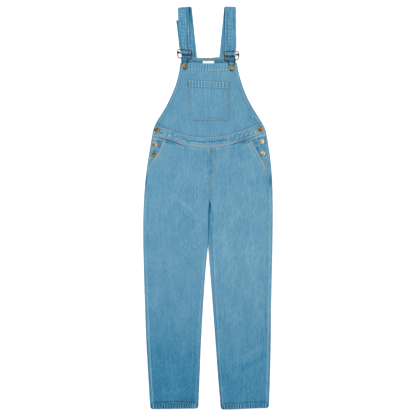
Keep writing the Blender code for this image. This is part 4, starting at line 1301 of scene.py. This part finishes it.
def patch_face(x, y):
    down = patch_down(x, y)
    u = np.abs(x - PATCH_CENTRE)
    corner_x = np.maximum(0.0, u - (PATCH_WIDTH / 2 - PATCH_CORNER))
    corner_y = np.maximum(0.0, down - (PATCH_DEEP - PATCH_CORNER))
    in_corner = (corner_x > 0) & (corner_y > 0)
    from_side, from_foot = PATCH_WIDTH / 2 - u, PATCH_DEEP - down
    straight = np.minimum(from_side, from_foot)
    inside = np.where(in_corner, PATCH_CORNER - np.hypot(corner_x, corner_y), straight)
    band = 1 - smooth(PATCH_HEM, PATCH_HEM + HEM_STEP, down)
    rope = bars(x, 11.0, 111) + 0.45 * bars(x, 6.6, 114)
    z = bib_level(x, y) + 2 * CLOTH + SEAM + HEM_RAISE * band
    z += 0.36 * rope * band * smooth(0, 4, down) + ditch(down, PATCH_HEM - 2.0)
    side = 1 - smooth(6.0, 7.5, inside)
    along = np.where(in_corner | (from_foot < from_side), bars(x, 7.5, 117), bars(y, 7.5, 118))
    first, second = PATCH_ROWS
    z += side * (0.2 + 0.2 * along) * (1 - band) + ditch(inside, first) + ditch(inside, second)
    tone = BIB_TONE - 0.015 + 0.012 * cloudy(x, y, 40, 21) + 0.01 * cloudy(x, y, 17, 22)
    tone += band * (0.24 * rope - 0.01) + 0.12 * bump(down, 0.4, 1.7)
    tone += 0.04 * bump(inside, 0.5, 1.2) - 0.16 * bump(inside, 3.5, 1.4)
    tone -= 0.07 * bump(inside, 8.0, 1.8)
    tone += side * 0.09 * along * (1 - band) - 0.11 * bump(down, PATCH_HEM + 2.2, 1.8)
    into = bars(x, 8.4, 119) * bump(from_foot, 13, 6)
    into += bars(x, 8.8, 116) * bump(down, PATCH_HEM + 7, 5)
    tone += 0.05 * into
    return z, tone, inside


def patch_pocket():
    downs = spread(0.0, PATCH_DEEP - PATCH_CORNER, NEAR_EDGE, 1.8)[0]
    turn = np.radians(np.linspace(0, 90, 18)[1:])
    downs = np.concatenate([downs, PATCH_DEEP - PATCH_CORNER * (1 - np.sin(turn))])
    half = patch_half(downs)
    offset = spread(-half, half, NEAR_EDGE, 1.8)
    x, y = PATCH_CENTRE + offset, patch_y(offset, downs[:, None])
    z, tone, inside = patch_face(x, y)
    z -= turned_edge(np.maximum(inside, 0.0), np.abs(y - y[:1]))
    under = bib_level(x, y) + CLOTH + SEAM
    flat_shell("bib_pocket", x, y, z, under, join_cloth(x, y, 11), tone)


def neck_label():
    """Blank tape, a little bowed between its ends, its lower edge just under the front bib."""
    half = LABEL_WIDTH / 2
    u = np.linspace(-half, half, 42)
    down = np.linspace(0, LABEL_HEIGHT, 16)[:, None]
    x, y = LABEL_CENTRE + u + 0 * down, LABEL_TOP - down + 0.25 * np.sin(u / 7) - 0.012 * u
    rise = DOUBLE + SEAM + 0.25 * np.cos(u / half * math.pi / 2) + 0.08 * np.sin(u * 0.9)
    z = blend(rise + 0.55, DOUBLE + SEAM + 0.35, smooth(525.0, 521.5, y))
    made = shell(
        "tape_neck_label",
        np.stack([x, y, z], -1),
        np.stack([x, y, z - 0.5], -1),
        join_cloth(u + 0 * down, down + 0 * u, 12),
        0 * x,
        look=LOOKS["tape"],
        slot="label_tape",
    )
    lay(made, "neck_label")


def strap_path(side):
    """Middle line of a strap as rows of (centre x, y, z, skew, half width, part of the strap)."""
    strap, buckle = STRAPS[side], BUCKLES[side]
    half, out = DOUBLE / 2, outward(side)
    low, high, tail = BACK_LAYER + half, FRONT_LAYER + half, TAIL_LAYER + half
    over_bar = FRONT_LAYER + 2 * BAR + SEAM + half
    roll, around = (high - low) / 2, (over_bar - tail) / 2
    neck, top = float(back_neck(strap.back_low)), strap.top - roll - half
    square = math.tan(math.radians(buckle.turn))
    end = buckle.y - LOOP_DROP[side]

    def skew(y):
        at_fold = strap.top_skew * smooth(top - 70, top, y)
        return at_fold + square * smooth(buckle.y + 70, buckle.y + 20, y)

    def rows(x, y, z, turn, part):
        narrow = GATHER * smooth(buckle.y + 24, buckle.y - 1, y) * (part > FOLD)
        half_width = STRAP_WIDTH / 2 - narrow
        columns = np.broadcast_arrays(x - out * narrow, y, z, turn, half_width, float(part))
        return np.stack(columns, -1)

    y = np.linspace(neck, top, 75)[1:-1]
    share = (y - neck) / (top - neck)
    x = blend(strap.back_low, strap.back_high, share)
    up = rows(x, y, low, strap.top_skew * smooth(top - 70, top, y), UP)
    turn = np.linspace(-math.pi / 2, math.pi / 2, 16)
    x = blend(strap.back_high, strap.front_high, smooth(-math.pi / 2, math.pi / 2, turn))
    over = rows(x, top + roll * np.cos(turn), low + roll + roll * np.sin(turn), strap.top_skew, FOLD)
    y = np.linspace(top, end, 92)[1:-1]
    share = np.minimum(1.0, (top - y) / (top - buckle.y))
    x = blend(strap.front_high, strap.front_mid, share)
    x = x + (strap.front_low - strap.front_mid) * smooth(buckle.y + BUCKLE_BEND, buckle.y, y)
    down = rows(x, y, blend(high, over_bar, smooth(buckle.y + 11, buckle.y + 2, y)), skew(y), DOWN)
    turn = np.linspace(math.pi / 2, 3 * math.pi / 2, 16)
    y = end + around * np.cos(turn)
    under = rows(strap.front_low, y, tail + around + around * np.sin(turn), square, UNDER)
    y = np.linspace(end, strap.tail_end, 57)[1:]
    share = np.maximum(0.0, (y - buckle.y) / (strap.tail_end - buckle.y))
    back_up = rows(blend(strap.front_low, strap.tail_high, share), y, tail, skew(y), TAIL)
    return np.concatenate([up, over, down, under, back_up])


def strap_surface(side):
    """Middle line of the strap, the way its face looks, its length and the places across it."""
    path = strap_path(side)
    y, z = path[:, 1], path[:, 2]
    dy, dz = np.gradient(y), np.gradient(z)
    size = np.hypot(dy, dz)
    normal_y, normal_z = -dz / size, dy / size
    length = np.concatenate([[0], np.cumsum(np.hypot(np.diff(y), np.diff(z)))])
    across = spread(-1.0, 1.0, [n * 2 / STRAP_WIDTH for n in NEAR_EDGE], 2 / 21)[0]
    return path, normal_y, normal_z, length, across


def strap_relief(side, length, across):
    """Relief and tone over a strap: a stitched channel near both edges, gently puckered."""
    seed = 121 if side == "left" else 141
    inside = (1 - np.abs(across)) * STRAP_WIDTH / 2
    rope = bars(length + 3 * across, 9.5, seed)
    wrinkle = bars(length - 2 * across, 12.0, seed + 4) * bump(across, -0.15, 0.4)
    relief = ditch(inside, 5.0, 0.2, 0.9) + 0.22 * rope * bump(inside, 3.0, 4.0)
    relief = relief + 0.12 * cloudy(across * 19, length, 14, seed) + 0.14 * wrinkle
    tone = 0.04 * bump(inside, 0.8, 1.5) - 0.10 * bump(inside, 7.5, 1.8)
    tone = tone + 0.11 * rope * bump(inside, 3.5, 4.5) + 0.08 * wrinkle
    streaks = cloudy(across * 19, length * 0.12, 3.6, seed + 1)
    return relief, tone + 0.12 * streaks + 0.05 * cloudy(across * 19, length * 0.4, 7, seed + 2)


def strap(side):
    path, normal_y, normal_z, length, across = strap_surface(side)
    relief, extra = strap_relief(side, length[:, None], across[None, :])
    out, half_width, part = outward(side), path[:, 4:5], path[:, 5:6]
    drop = turned_edge((1 - np.abs(across))[None, :] * half_width)
    x = path[:, :1] + across * half_width
    base_y = path[:, 1:2] + path[:, 3:4] * across * half_width
    base_z = path[:, 2:3] + 0 * across
    ny, nz = normal_y[:, None], normal_z[:, None]
    thick = DOUBLE / 2 + relief - drop
    face = np.stack([x, base_y + ny * thick, base_z + nz * thick], -1)
    back = np.stack([x, base_y - ny * thick, base_z - nz * thick], -1)

    shade = STRAP_SHADES[side]
    tone = BIB_TONE - shade.dark + shade.contrast * extra
    front = STRAPS[side]
    share = np.clip((front.top - base_y) / (front.top - BUCKLES[side].y), 0.0, 1.0)
    # Painted shadow of the front run on the run behind, beside the front's inner edge
    front_edge = blend(front.front_high, front.front_mid, share) - out * STRAP_WIDTH / 2
    beyond = out * (front_edge - x)
    high = smooth(front.top - 95, front.top - 15, base_y)
    wedge = shade.wedge + shade.wedge_top * high
    tone -= (part == UP) * wedge * bump(beyond, 0.0, 3.4 + shade.spread_top * high)
    inner = (1 + out * across) * STRAP_WIDTH / 2
    tone += (part == DOWN) * (0.17 * bump(inner, 1.0, 1.6) - 0.10 * bump(inner, 4.0, 2.0))
    tone -= (part == TAIL) * 0.3 * bump(base_y, front.tail_end, 22)
    # Painted shade along the front run's outer edge
    tone -= (part == DOWN) * 0.10 * bump(inner, STRAP_WIDTH - 0.5, 2.0)
    # Painted shade at the bar: the turn under it darkened, the fold's shadow on the back run below
    # it, and the fold's lower edge
    at_bar = BUCKLES[side].y - LOOP_DROP[side]
    below = 1 - smooth(16, 21, np.abs(x - BUCKLES[side].x))
    tone = tone - (part == UNDER) * 0.3
    tone -= (part == UP) * 0.42 * below * bump(base_y, at_bar - 4.0, 3.6)
    tone -= (part == DOWN) * 0.12 * bump(base_y, at_bar, 2.0)
    face[0, :, 1] = back[0, :, 1] = back_neck(x[0]) - LAP
    seed = 13 if side == "left" else 14
    cloth = join_cloth(across[None, :] * STRAP_WIDTH / 2, length[:, None], seed)
    made = shell(f"cloth_strap_{side}", face, back, cloth, tone, inside=0.0)
    lay(made, f"strap_{side}")


# ---------------------------------------------------------------- stitches


def stitches(name, lines, colour="thread", length=STITCH, gap=STITCH_GAP, width=THREAD_WIDTH):
    """Short raised threads along lines of points on the cloth, joined in one piece."""
    ring = np.linspace(0, 2 * math.pi, 6)[:-1]
    lift = np.array([-0.25, 0.22, 0.22, -0.25])
    swell = np.array([0.35, 1.0, 1.0, 0.35])
    places = np.array([0.0, 0.22, 0.78, 1.0])
    points, count = [], 0
    for line in lines:
        line = np.asarray(line, float)
        steps = np.linalg.norm(np.diff(line, axis=0), axis=1)
        along = np.concatenate([[0], np.cumsum(steps)])
        number = int(along[-1] / (length + gap))
        if number < 1:
            continue
        pitch = along[-1] / number
        start = np.arange(number) * pitch + (pitch - length) / 2
        at = start[:, None] + places * length
        middle = np.stack([np.interp(at, along, line[:, k]) for k in range(3)], -1)
        way = middle[:, -1] - middle[:, 0]
        way[:, 2] = 0
        way /= np.linalg.norm(way, axis=1)[:, None]
        side = np.stack([-way[:, 1], way[:, 0], 0 * way[:, 0]], -1)
        turn_x = np.cos(ring)[None, None, :, None] * side[:, None, None, :] * (width / 2)
        turn_z = np.sin(ring) * THREAD_HEIGHT / 2
        spots = middle[:, :, None, :] + turn_x * swell[None, :, None, None]
        spots[..., 2] += turn_z[None, None, :] * swell[None, :, None] + lift[None, :, None]
        points.append(spots.reshape(-1, 3))
        count += number
    points = np.concatenate(points)
    base = np.arange(20).reshape(4, 5)
    around = np.roll(base, -1, axis=1)
    quads = np.stack([base[:-1], around[:-1], around[1:], base[1:]], -1).reshape(-1, 4)
    offsets = (np.arange(count) * 20)[:, None, None]
    sides = (quads[None] + offsets).reshape(-1, 4).tolist()
    caps = np.concatenate([(base[0][::-1] + offsets[:, 0]), (base[3] + offsets[:, 0])]).tolist()
    return piece(name, points, sides + caps, LOOKS[colour], "denim")


def on(face, x, y):
    """Points on a cloth's face, a thread's half height above it."""
    x, y = np.broadcast_arrays(np.asarray(x, float), np.asarray(y, float))
    return np.stack([x, y, face(x, y)[0] + 0.12], -1)


def inset_bib(side, y, inset):
    """A line inside the edge of the bib, measured square to the edge."""
    slope = (bib_edge(side, y + 2) - bib_edge(side, y - 2)) / 4
    length = np.sqrt(1 + slope**2)
    out = outward(side)
    return bib_edge(side, y) - out * inset / length, y + out * inset * slope / length


def leg_stitches(side):
    out, front = outward(side), partial(front_face, side)
    y = np.linspace(POCKET_END[side] + 4, -708, 500)
    x = outer_edge(side, y) - out * (read(LEGS, side + "_outseam", y) - 1.9)
    seams = [np.stack([x, y, SIDE_FOLD + 0.30 + 0 * y], -1)]
    y = np.linspace(-250, -708, 300)
    dx = np.maximum(0.35, read(LEGS, side + "_inseam", y) - 1.7)
    z = SIDE_FOLD / 2 + np.sqrt(np.maximum(0, 1.6**2 - np.maximum(0, 1.6 - dx) ** 2)) + 0.30
    seams.append(np.stack([inner_edge(side, y) + out * dx, y, z], -1))
    stitches(f"stitches_seams_{side}", seams, "tonal")
    y = np.linspace(POCKET_END[side] + 1, POCKET_TOP[side] - 1, 120)
    slant = [on(front, pocket_edge(side, y) - out * inset, y) for inset in POCKET_ROWS[side]]
    stitches(f"stitches_pocket_{side}", slant, width=1.1 if side == "left" else 0.95)
    start, end = float(inseam(side, -704)) + out * 1.5, float(outseam(side, -704)) - out * 1.5
    x = np.linspace(start, end, 120)
    lines = [on(front, x, hem_line(side, x) + hem_stitch(side, x))]
    y = np.linspace(POCKET_END[side] + 8, 250, 80)
    lines.append(on(partial(hip_face, side), outer_edge(side, y) - out * (PLACKET_INSET + 2.2), y))
    stitches(f"stitches_leg_{side}", lines)


def centre_stitches():
    """Topstitching of the centre seam and of the mock fly, on the wearer's left."""
    face = partial(front_face, "left")
    y = np.linspace(215, 192, 30)
    lines = [on(face, centre_line(y) + 1.6, y)]
    straight, turn = np.linspace(213, FLY_END + 24, 80), np.linspace(0, math.pi / 2, 40)[1:]
    for inset in (FLY_WIDTH - 1.5, FLY_WIDTH - 7.5):
        bend = centre_line(FLY_END) + inset * np.cos(turn)
        x = np.concatenate([centre_line(straight) + inset, bend])
        y = np.concatenate([straight, FLY_END + 24 - (inset + 1.0) * 0.82 * np.sin(turn)])
        lines.append(on(face, x, y))
    stitches("stitches_fly", lines[:2])
    for inset, start in ((7.0, 213), (1.6, 190)):
        y = np.linspace(start, CROTCH + 6, 200)
        lines.append(on(face, centre_line(y) + inset, y))
    stitches("stitches_centre", lines[2:], "faded")


def waistband_stitches():
    x = np.linspace(-205, 210, 500)
    rows = (("top", WAIST_ROWS[:1], 1.35), ("foot", WAIST_ROWS[1:], 1.15))
    for name, insets, width in rows:
        lines = {"thread": [], "worn": []}
        for inset in insets:
            y = band_top(x) - inset
            shown = (x > outer_edge("right", y) + 1.2) & (x < outer_edge("left", y) - 1.2)
            for k, (low, high) in enumerate(zip(BAND_RUNS, BAND_RUNS[1:])):
                run = shown & (x >= low) & (x <= high)
                colour = "worn" if k % 2 and name == "foot" else "thread"
                lines[colour].append(on(band_face, x[run], y[run]))
        stitches(f"stitches_waistband_{name}", lines["thread"], width=width)
    stitches("stitches_waistband_worn", lines["worn"], "worn", width=width)


def bib_stitches():
    x = np.linspace(-101, 105, 300)
    lines = [on(bib_face, x, bib_neck(x) - BIB_HEM + 1.5)]
    y = np.linspace(BIB_TOP - 3, 296, 400)
    for side, inset in BIB_STITCH.items():
        px, py = inset_bib(side, y, inset)
        keep = py > band_top(px) + 1
        lines.append(on(bib_face, px[keep], py[keep]))
    stitches("stitches_bib", lines, width=1.25)


def pocket_outline(inset):
    """A line inside the edge of the bib pocket, from its top left round to its top right."""
    half, deep = PATCH_WIDTH / 2 - inset, PATCH_DEEP - inset
    radius, turn = PATCH_CORNER - inset, np.linspace(0, math.pi / 2, 24)
    down = np.linspace(1.0, deep - radius, 90)
    side_u = np.concatenate([-half + 0 * down, -half + radius * (1 - np.cos(turn))])
    side_v = np.concatenate([down, deep - radius + radius * np.sin(turn)])
    u = np.concatenate([side_u, np.linspace(-half + radius, half - radius, 80), -side_u[::-1]])
    v = np.concatenate([side_v, np.full(80, deep), side_v[::-1]])
    return PATCH_CENTRE + u, patch_y(u, v)


def pocket_stitches():
    lines = [on(patch_face, *pocket_outline(inset)) for inset in PATCH_ROWS]
    u = np.linspace(-PATCH_WIDTH / 2 + 1, PATCH_WIDTH / 2 - 1, 120)
    for down in (2.0, PATCH_HEM - 2.0):
        lines.append(on(patch_face, PATCH_CENTRE + u, patch_y(u, down)))
    stitches("stitches_bib_pocket", lines, width=1.05)


def back_stitches():
    """Topstitching of the back's top hem, between the straps."""
    x = np.linspace(-64, 64, 200)
    rows = (("edge", 4.8, "thread", 1.3), ("hem", BACK_HEM - 2.0, "faded", 0.85))
    for name, inset, colour, width in rows:
        line = np.stack([x, back_neck(x) - inset, np.full_like(x, DOUBLE - 0.05)], -1)
        stitches(f"stitches_bib_back_{name}", [line], colour, width=width)


def strap_stitches(side):
    path, normal_y, normal_z, length, _ = strap_surface(side)
    lines = []
    for u in (-1 + 10 / STRAP_WIDTH, 1 - 10 / STRAP_WIDTH):
        relief, _ = strap_relief(side, length, np.full_like(length, u))
        height = (DOUBLE / 2 + relief + 0.12) * np.sign(normal_z)
        y = path[:, 1] + path[:, 3] * u * path[:, 4] + normal_y * height
        z = path[:, 2] + normal_z * height
        line = np.stack([path[:, 0] + u * path[:, 4], y, z], -1)
        lit = path[:, 1] < STRAPS[side].top - 62
        for part in (UP, DOWN, TAIL):
            shown = (path[:, 5] == part) & (np.abs(normal_z) > 0.7) & (lit | (part != UP))
            lines.append(line[shown])
    stitches(f"stitches_strap_{side}", lines, "faded", width=1.2)


def bartack(face, x, y, angle, length, width=2.0):
    """Close satin threads across a short line."""
    along = np.array([math.cos(angle), math.sin(angle)])
    across = np.array([-along[1], along[0]]) * width / 2
    lines = []
    for k in np.arange(-length / 2, length / 2, 0.62):
        middle = np.array([x, y]) + along * k
        ends = np.linspace(-1, 1, 5)[:, None] * across + middle
        lines.append(on(face, ends[:, 0], ends[:, 1]))
    return lines


def tacks():
    """Bartacks at the ends of pockets and fly, and the stitched buttonholes."""
    lines = []
    for u in (-1, 1):
        offset = u * (PATCH_WIDTH / 2 - 4.6)
        lines += bartack(patch_face, PATCH_CENTRE + offset, patch_y(offset, 2.2), 0.0, 8.0, 3.6)
    left = partial(front_face, "left")
    lines += bartack(left, float(centre_line(105)) + 4, 104.5, 0.0, 8.0)
    lines += bartack(left, float(centre_line(94)) + 4, 94.0, 0.0, 8.0)
    for side in ("right", "left"):
        out, top, low = outward(side), POCKET_TOP[side] - 5.5, POCKET_END[side] + 14
        x = float(pocket_edge(side, top)) - out * (9 if out < 0 else 5)
        lines += bartack(partial(front_face, side), x, top, 0.3, 6.0)
        x = float(outer_edge(side, low)) - out * 9
        lines += bartack(partial(hip_face, side), x, low, math.pi / 2 + out * 0.9, 5.0, 1.6)
    for button in SIDE_BUTTONS:
        side, inward = ("left", -1) if button.x > 0 else ("right", 1)
        cloth = band_face if button.name.startswith("waist") else partial(hip_face, side)
        for k in np.arange(8.0, BUTTONHOLE + 0.5, 0.7):
            for off in (-1, 1):
                y = button.y + off * np.linspace(0.35, 2.1, 4)
                spots = on(cloth, button.x + inward * k, y)
                spots[:, 2] = spots[:, 2].max()
                lines.append(spots)
        end = button.x + inward * (BUTTONHOLE + 0.6)
        lines += bartack(cloth, end, button.y, math.pi / 2, 5.0, 1.8)
    stitches("tacks_and_buttonholes", lines, "tack", length=1.75, gap=0.0, width=0.7)


# ---------------------------------------------------------------- metal trim


def rounded(corners, step):
    """Points of a line through corners given as (u, v, radius), each corner an arc."""
    line = [Vector(corners[0][:2])]
    for before, corner, after in zip(corners, corners[1:], corners[2:]):
        at, radius = Vector(corner[:2]), corner[2]
        a, b = (Vector(before[:2]) - at).normalized(), (Vector(after[:2]) - at).normalized()
        half_angle = a.angle(b) / 2
        reach = radius / math.tan(half_angle)
        centre = at + (a + b).normalized() * radius / math.sin(half_angle)
        start, end = at + a * reach - centre, at + b * reach - centre
        turn = start.angle_signed(end)
        count = max(4, math.ceil(abs(turn) * radius / step) + 1)
        for k in range(count + 1):
            line.append(centre + Matrix.Rotation(-turn * k / count, 2) @ start)
    line.append(Vector(corners[-1][:2]))
    return line


def buckle_place(side, u, v):
    buckle = BUCKLES[side]
    angle = math.radians(blend(buckle.turn, buckle.foot_turn, float(smooth(0.0, buckle.foot, v))))
    x, y = buckle.x + u * math.cos(angle), buckle.y + u * math.sin(angle) + v
    return Vector((x, y, float(read(LEANS, "z", v))))


def tube(name, centres, radius, look, closed=True, sides=16, rub=0.45):
    """A round wire along a line of points. The radius may vary from point to point."""
    centres = np.asarray(centres, float)
    if closed:
        way = np.roll(centres, -1, axis=0) - np.roll(centres, 1, axis=0)
    else:
        way = np.gradient(centres, axis=0)
    way /= np.linalg.norm(way, axis=1)[:, None]
    side = np.cross(way, [0.0, 0.0, 1.0])
    side /= np.linalg.norm(side, axis=1)[:, None]
    up = np.cross(side, way)
    turn = np.linspace(0, 2 * math.pi, sides + 1)[:-1]
    ring = np.cos(turn)[:, None] * side[:, None, :] + np.sin(turn)[:, None] * up[:, None, :]
    radius = np.broadcast_to(radius, len(centres))[:, None, None]
    points = centres[:, None, :] + ring * radius
    rows = len(centres)
    index = np.arange(rows * sides).reshape(rows, sides)
    after = np.roll(index, -1, axis=1)
    low, high = (index, np.roll(index, -1, axis=0)) if closed else (index[:-1], index[1:])
    low2, high2 = (after, np.roll(after, -1, axis=0)) if closed else (after[:-1], after[1:])
    faces = np.stack([low, low2, high2, high], -1).reshape(-1, 4).tolist()
    if not closed:
        faces += [index[0][::-1].tolist(), index[-1].tolist()]
    # The top of the wire is lighter than its underside: a painted highlight
    rubbed = (np.broadcast_to(rub, rows)[:, None] + 0.35 * np.sin(turn)).ravel()
    return piece(name, points.reshape(-1, 3), faces, look, "antique_brass", rub=rubbed)


def buckle(side):
    """The bent wire and its bar with an eye at each end."""
    top, foot, half = FRAME_TOP, BUCKLES[side].foot, FRAME_HALF
    corners = [
        (0, top, 0),
        (half, top, FRAME_CORNER),
        (half, foot, FRAME_CORNER),
        (LOOP_HALF - 0.2, foot, 2.6),
        (LOOP_HALF - 0.6, foot - 13.5, 8),
        (SLOT_HALF, SLOT_END + 16, 7),
        (SLOT_HALF, SLOT_END, SLOT_HALF - 0.05),
        (0, SLOT_END, 0),
    ]
    line = rounded(corners, 0.9)
    line += [Vector((-p.x, p.y)) for p in reversed(line[1:-1])]
    fine = []
    for start, end in zip(line, line[1:] + line[:1]):
        count = max(1, round((end - start).length / 1.6))
        fine += [blend(start, end, k / count) for k in range(count)]
    centres = [buckle_place(side, *p) for p in fine]
    down = np.array([p[1] for p in fine])
    # Painted shade darkens the wire below the frame's foot, where it lies over the cloth, and painted
    # glints light it near the button
    rub = 0.34 - 0.5 * smooth(foot + 3, foot - 2, down) + 0.45 * bump(down, foot - 22, 3.5)
    made = tube(f"metal_buckle_wire_{side}", centres, WIRE, LOOKS["wire"], rub=rub)
    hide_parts(f"buckle_wire_{side}")

    spans = np.linspace(-FRAME_HALF + 2.4, FRAME_HALF - 2.4, 40)
    centres = [buckle_place(side, u, 0) for u in spans]
    bar = tube(f"metal_buckle_bar_{side}", centres, BAR, LOOKS["wire"], closed=False, rub=0.2)
    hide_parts(f"buckle_bar_{side}")
    reach = np.array([-1.0, -0.94, -0.75, 0.75, 0.94, 1.0])
    swell = WIRE + SEAM + COLLAR * np.array([0.2, 0.75, 1.0, 1.0, 0.75, 0.2])
    for end, name in ((-1, "inner"), (1, "outer")):
        eye = EYES["outer" if end == outward(side) else "inner"]
        at = end * (FRAME_HALF - eye.inset)
        low, high = (buckle_place(side, at, v) for v in (-eye.half, eye.half))
        centres = [low.lerp(high, (v + 1) / 2) for v in reach]
        tube(f"metal_eye_{name}_{side}", centres, swell, LOOKS["wire"], closed=False, rub=eye.rub)
        along = [end * (FRAME_HALF - u * eye.neck) for u in (1.5, 4.0, 6.4, 7.2)]
        neck = [buckle_place(side, u, 0) for u in along]
        widths = np.array([2.5, 2.4, 2.2, 1.4])
        dull = eye.rub - 0.15
        tube(f"metal_neck_{name}_{side}", neck, widths, LOOKS["wire"], closed=False, rub=dull)


def turned(name, profile, place, look, worn, sheen, sides=56):
    """A solid turned round Z from rows of (radius, height, rub), from its foot to its top."""
    profile = np.array(profile, float)
    profile[:, 2] += worn
    turn = np.linspace(0, 2 * math.pi, sides + 1)[:-1]
    radii, heights, rubs = profile[1:-1].T
    x = radii[:, None] * np.cos(turn) + place[0]
    y = radii[:, None] * np.sin(turn) + place[1]
    z = heights[:, None] + place[2] + 0 * turn
    rows = len(radii)
    index = np.arange(rows * sides).reshape(rows, sides)
    after = np.roll(index, -1, axis=1)
    faces = np.stack([index[:-1], after[:-1], after[1:], index[1:]], -1).reshape(-1, 4).tolist()
    foot, tip = rows * sides, rows * sides + 1
    faces += [[foot, int(b), int(a)] for a, b in zip(index[0], after[0])]
    faces += [[tip, int(a), int(b)] for a, b in zip(index[-1], after[-1])]
    points = np.stack([x, y, z], -1).reshape(-1, 3)
    ends = [(place[0], place[1], place[2] + height) for height in (profile[0, 1], profile[-1, 1])]
    points = np.concatenate([points, ends])
    # One side of each button is lighter than the other: a painted highlight, turned to the given
    # angle
    rub = rubs[:, None] + 0.5 * np.cos(turn - math.radians(sheen)) * (radii[:, None] / radii.max())
    rub = np.concatenate([rub.ravel(), [profile[0, 2], profile[-1, 2]]])
    return piece(name, points, faces, look, "antique_brass", rub=rub)


def button_profile(rise, plate):
    """A tack button: plate or shank, domed cap with a rolled rim, a ring and a centre boss."""
    r, dome = BUTTON_RADIUS, BUTTON_DOME
    foot = [(0, 0, 0.1), (SHANK, 0, 0.1)]
    if plate:
        foot = [(0, 0, 0.2), (PLATE_RADIUS, 0, 0.2), (PLATE_RADIUS, 1.0, 0.2), (SHANK, 1.0, 0.1)]
    return foot + [
        (SHANK, rise, 0.1),
        (r - 0.9, rise, 0.1),
        (r - 0.25, rise + 0.35, 0.3),
        (r, rise + 1.0, 0.6),
        (r - 0.2, rise + 1.8, 0.8),
        (r - 0.8, rise + 2.5, 0.95),
        (r - 1.6, rise + dome, 1.0),
        (r - 2.2, rise + dome - 0.1, 0.8),
        (r - 2.7, rise + dome - 0.55, 0.1),
        (r - 3.4, rise + dome - 0.75, -0.15),
        (r - 4.2, rise + dome - 0.55, 0.3),
        (r - 5.2, rise + dome - 0.4, 0.6),
        (r - 6.4, rise + dome - 0.42, 0.55),
        (1.6, rise + dome - 0.5, 0.2),
        (1.1, rise + dome - 0.2, 0.7),
        (0.5, rise + dome - 0.05, 0.9),
        (0, rise + dome, 1.0),
    ]


def tack_button(name, place, rise, look, worn, sheen, plate=False):
    profile = button_profile(rise, plate)
    made = turned(f"metal_button_{name}", profile, place, LOOKS[look], worn, sheen)
    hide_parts(f"button_{name}")


def buttons():
    for side, worn, sheen in (("right", 0.0, 160), ("left", 0.3, -35)):
        where = buckle_place(side, 0, SLOT_END + BUTTON_IN_SLOT)
        foot, top = CLOTH + SEAM, BIB_TOP_LEVEL + DOUBLE + 2 * SEAM + 2 * WIRE
        place = (where.x, where.y, foot)
        tack_button(f"bib_{side}", place, top - foot, "copper", worn, sheen, plate=True)
    for button in SIDE_BUTTONS:
        side = "left" if button.x > 0 else "right"
        if button.name.startswith("waist"):
            foot, face = DOUBLE + SEAM, float(band_level(button.x, button.y)) + DOUBLE
        else:
            foot, face = CLOTH + SEAM, float(front_level(side, button.x, button.y)) - SEAM
        place, rise = (button.x, button.y, foot), face + 2 * SEAM - foot
        tack_button(button.name, place, rise, button.look, button.worn, button.sheen)


# ---------------------------------------------------------------- stage


def floor():
    half = FLOOR_HALF * MM
    mesh = bpy.data.meshes.new("floor")
    corners = [(-half, -half, 0), (half, -half, 0), (half, half, 0), (-half, half, 0)]
    mesh.from_pydata(corners, [], [(0, 1, 2, 3)])
    mesh.materials.append(plain("pale_floor", (0.96, 0.96, 0.96)))
    made = bpy.data.objects.new("floor", mesh)
    made.location.z = -FLOOR_DROP * MM
    bpy.context.scene.collection.objects.link(made)


def area_light(name, place, size, energy):
    light = bpy.data.lights.new(name, "AREA")
    light.shape, light.size, light.energy = "DISK", size, energy
    made = bpy.data.objects.new(name, light)
    made.location = place
    made.rotation_euler = (-Vector(place)).to_track_quat("-Z", "Y").to_euler()
    bpy.context.scene.collection.objects.link(made)


def stage():
    scene = bpy.context.scene
    floor()
    world = bpy.data.worlds.new("studio")
    world.use_nodes = True
    background = world.node_tree.nodes["Background"]
    background.inputs[0].default_value = (1, 1, 1, 1)
    background.inputs[1].default_value = 1.14
    scene.world = world
    area_light("key", (-1.4, 1.9, 2.4), 1.1, 45)
    area_light("fill", (1.9, -1.4, 2.6), 2.2, 17)
    scene.view_settings.view_transform = "Standard"
    scene.view_settings.look = "None"

    distance, across = 4.0, IMAGE_SIZE * PIXEL * MM
    camera = bpy.data.cameras.new("above")
    camera.sensor_width = 36
    camera.lens = 36 * distance / across
    made = bpy.data.objects.new("above", camera)
    made.location = (0, 0, distance + 4 * MM)
    scene.collection.objects.link(made)
    scene.camera = made


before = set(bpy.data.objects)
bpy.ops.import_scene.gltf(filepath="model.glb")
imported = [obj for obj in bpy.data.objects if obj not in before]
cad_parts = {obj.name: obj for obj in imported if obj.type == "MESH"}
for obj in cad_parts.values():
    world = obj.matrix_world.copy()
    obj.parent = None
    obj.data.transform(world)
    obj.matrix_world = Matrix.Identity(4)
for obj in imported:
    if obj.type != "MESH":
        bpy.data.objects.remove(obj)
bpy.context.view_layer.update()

LOOKS = {
    "denim": denim(),
    "thread": thread("topstitch_thread", THREAD, 0.18),
    "worn": thread("worn_thread", WORN_THREAD, 0.18),
    "tonal": thread("tonal_thread", TONAL, 0.12),
    "faded": thread("faded_thread", FADED, 0.15),
    "tack": thread("tack_thread", TACK, 0.2),
    "tape": label_tape(),
    "wire": metal("antique_brass_wire", (30, 23, 10), (110, 82, 36), 0.38),
    "copper": metal("aged_brass_button", (58, 42, 20), (168, 126, 68), 0.38),
    "olive": metal("dull_brass_button", (56, 48, 26), (150, 128, 84), 0.42),
    "gold": metal("bright_brass_button", (94, 64, 32), (222, 198, 156), 0.36),
}

for side in ("right", "left"):
    back_leg(side)
    hip_piece(side)
    front_leg(side)
    strap(side)
    buckle(side)
    leg_stitches(side)
    strap_stitches(side)
waistband_back()
waistband_front()
bib_back()
bib_front()
patch_pocket()
neck_label()
waistband_stitches()
bib_stitches()
centre_stitches()
pocket_stitches()
back_stitches()
tacks()
buttons()
stage()
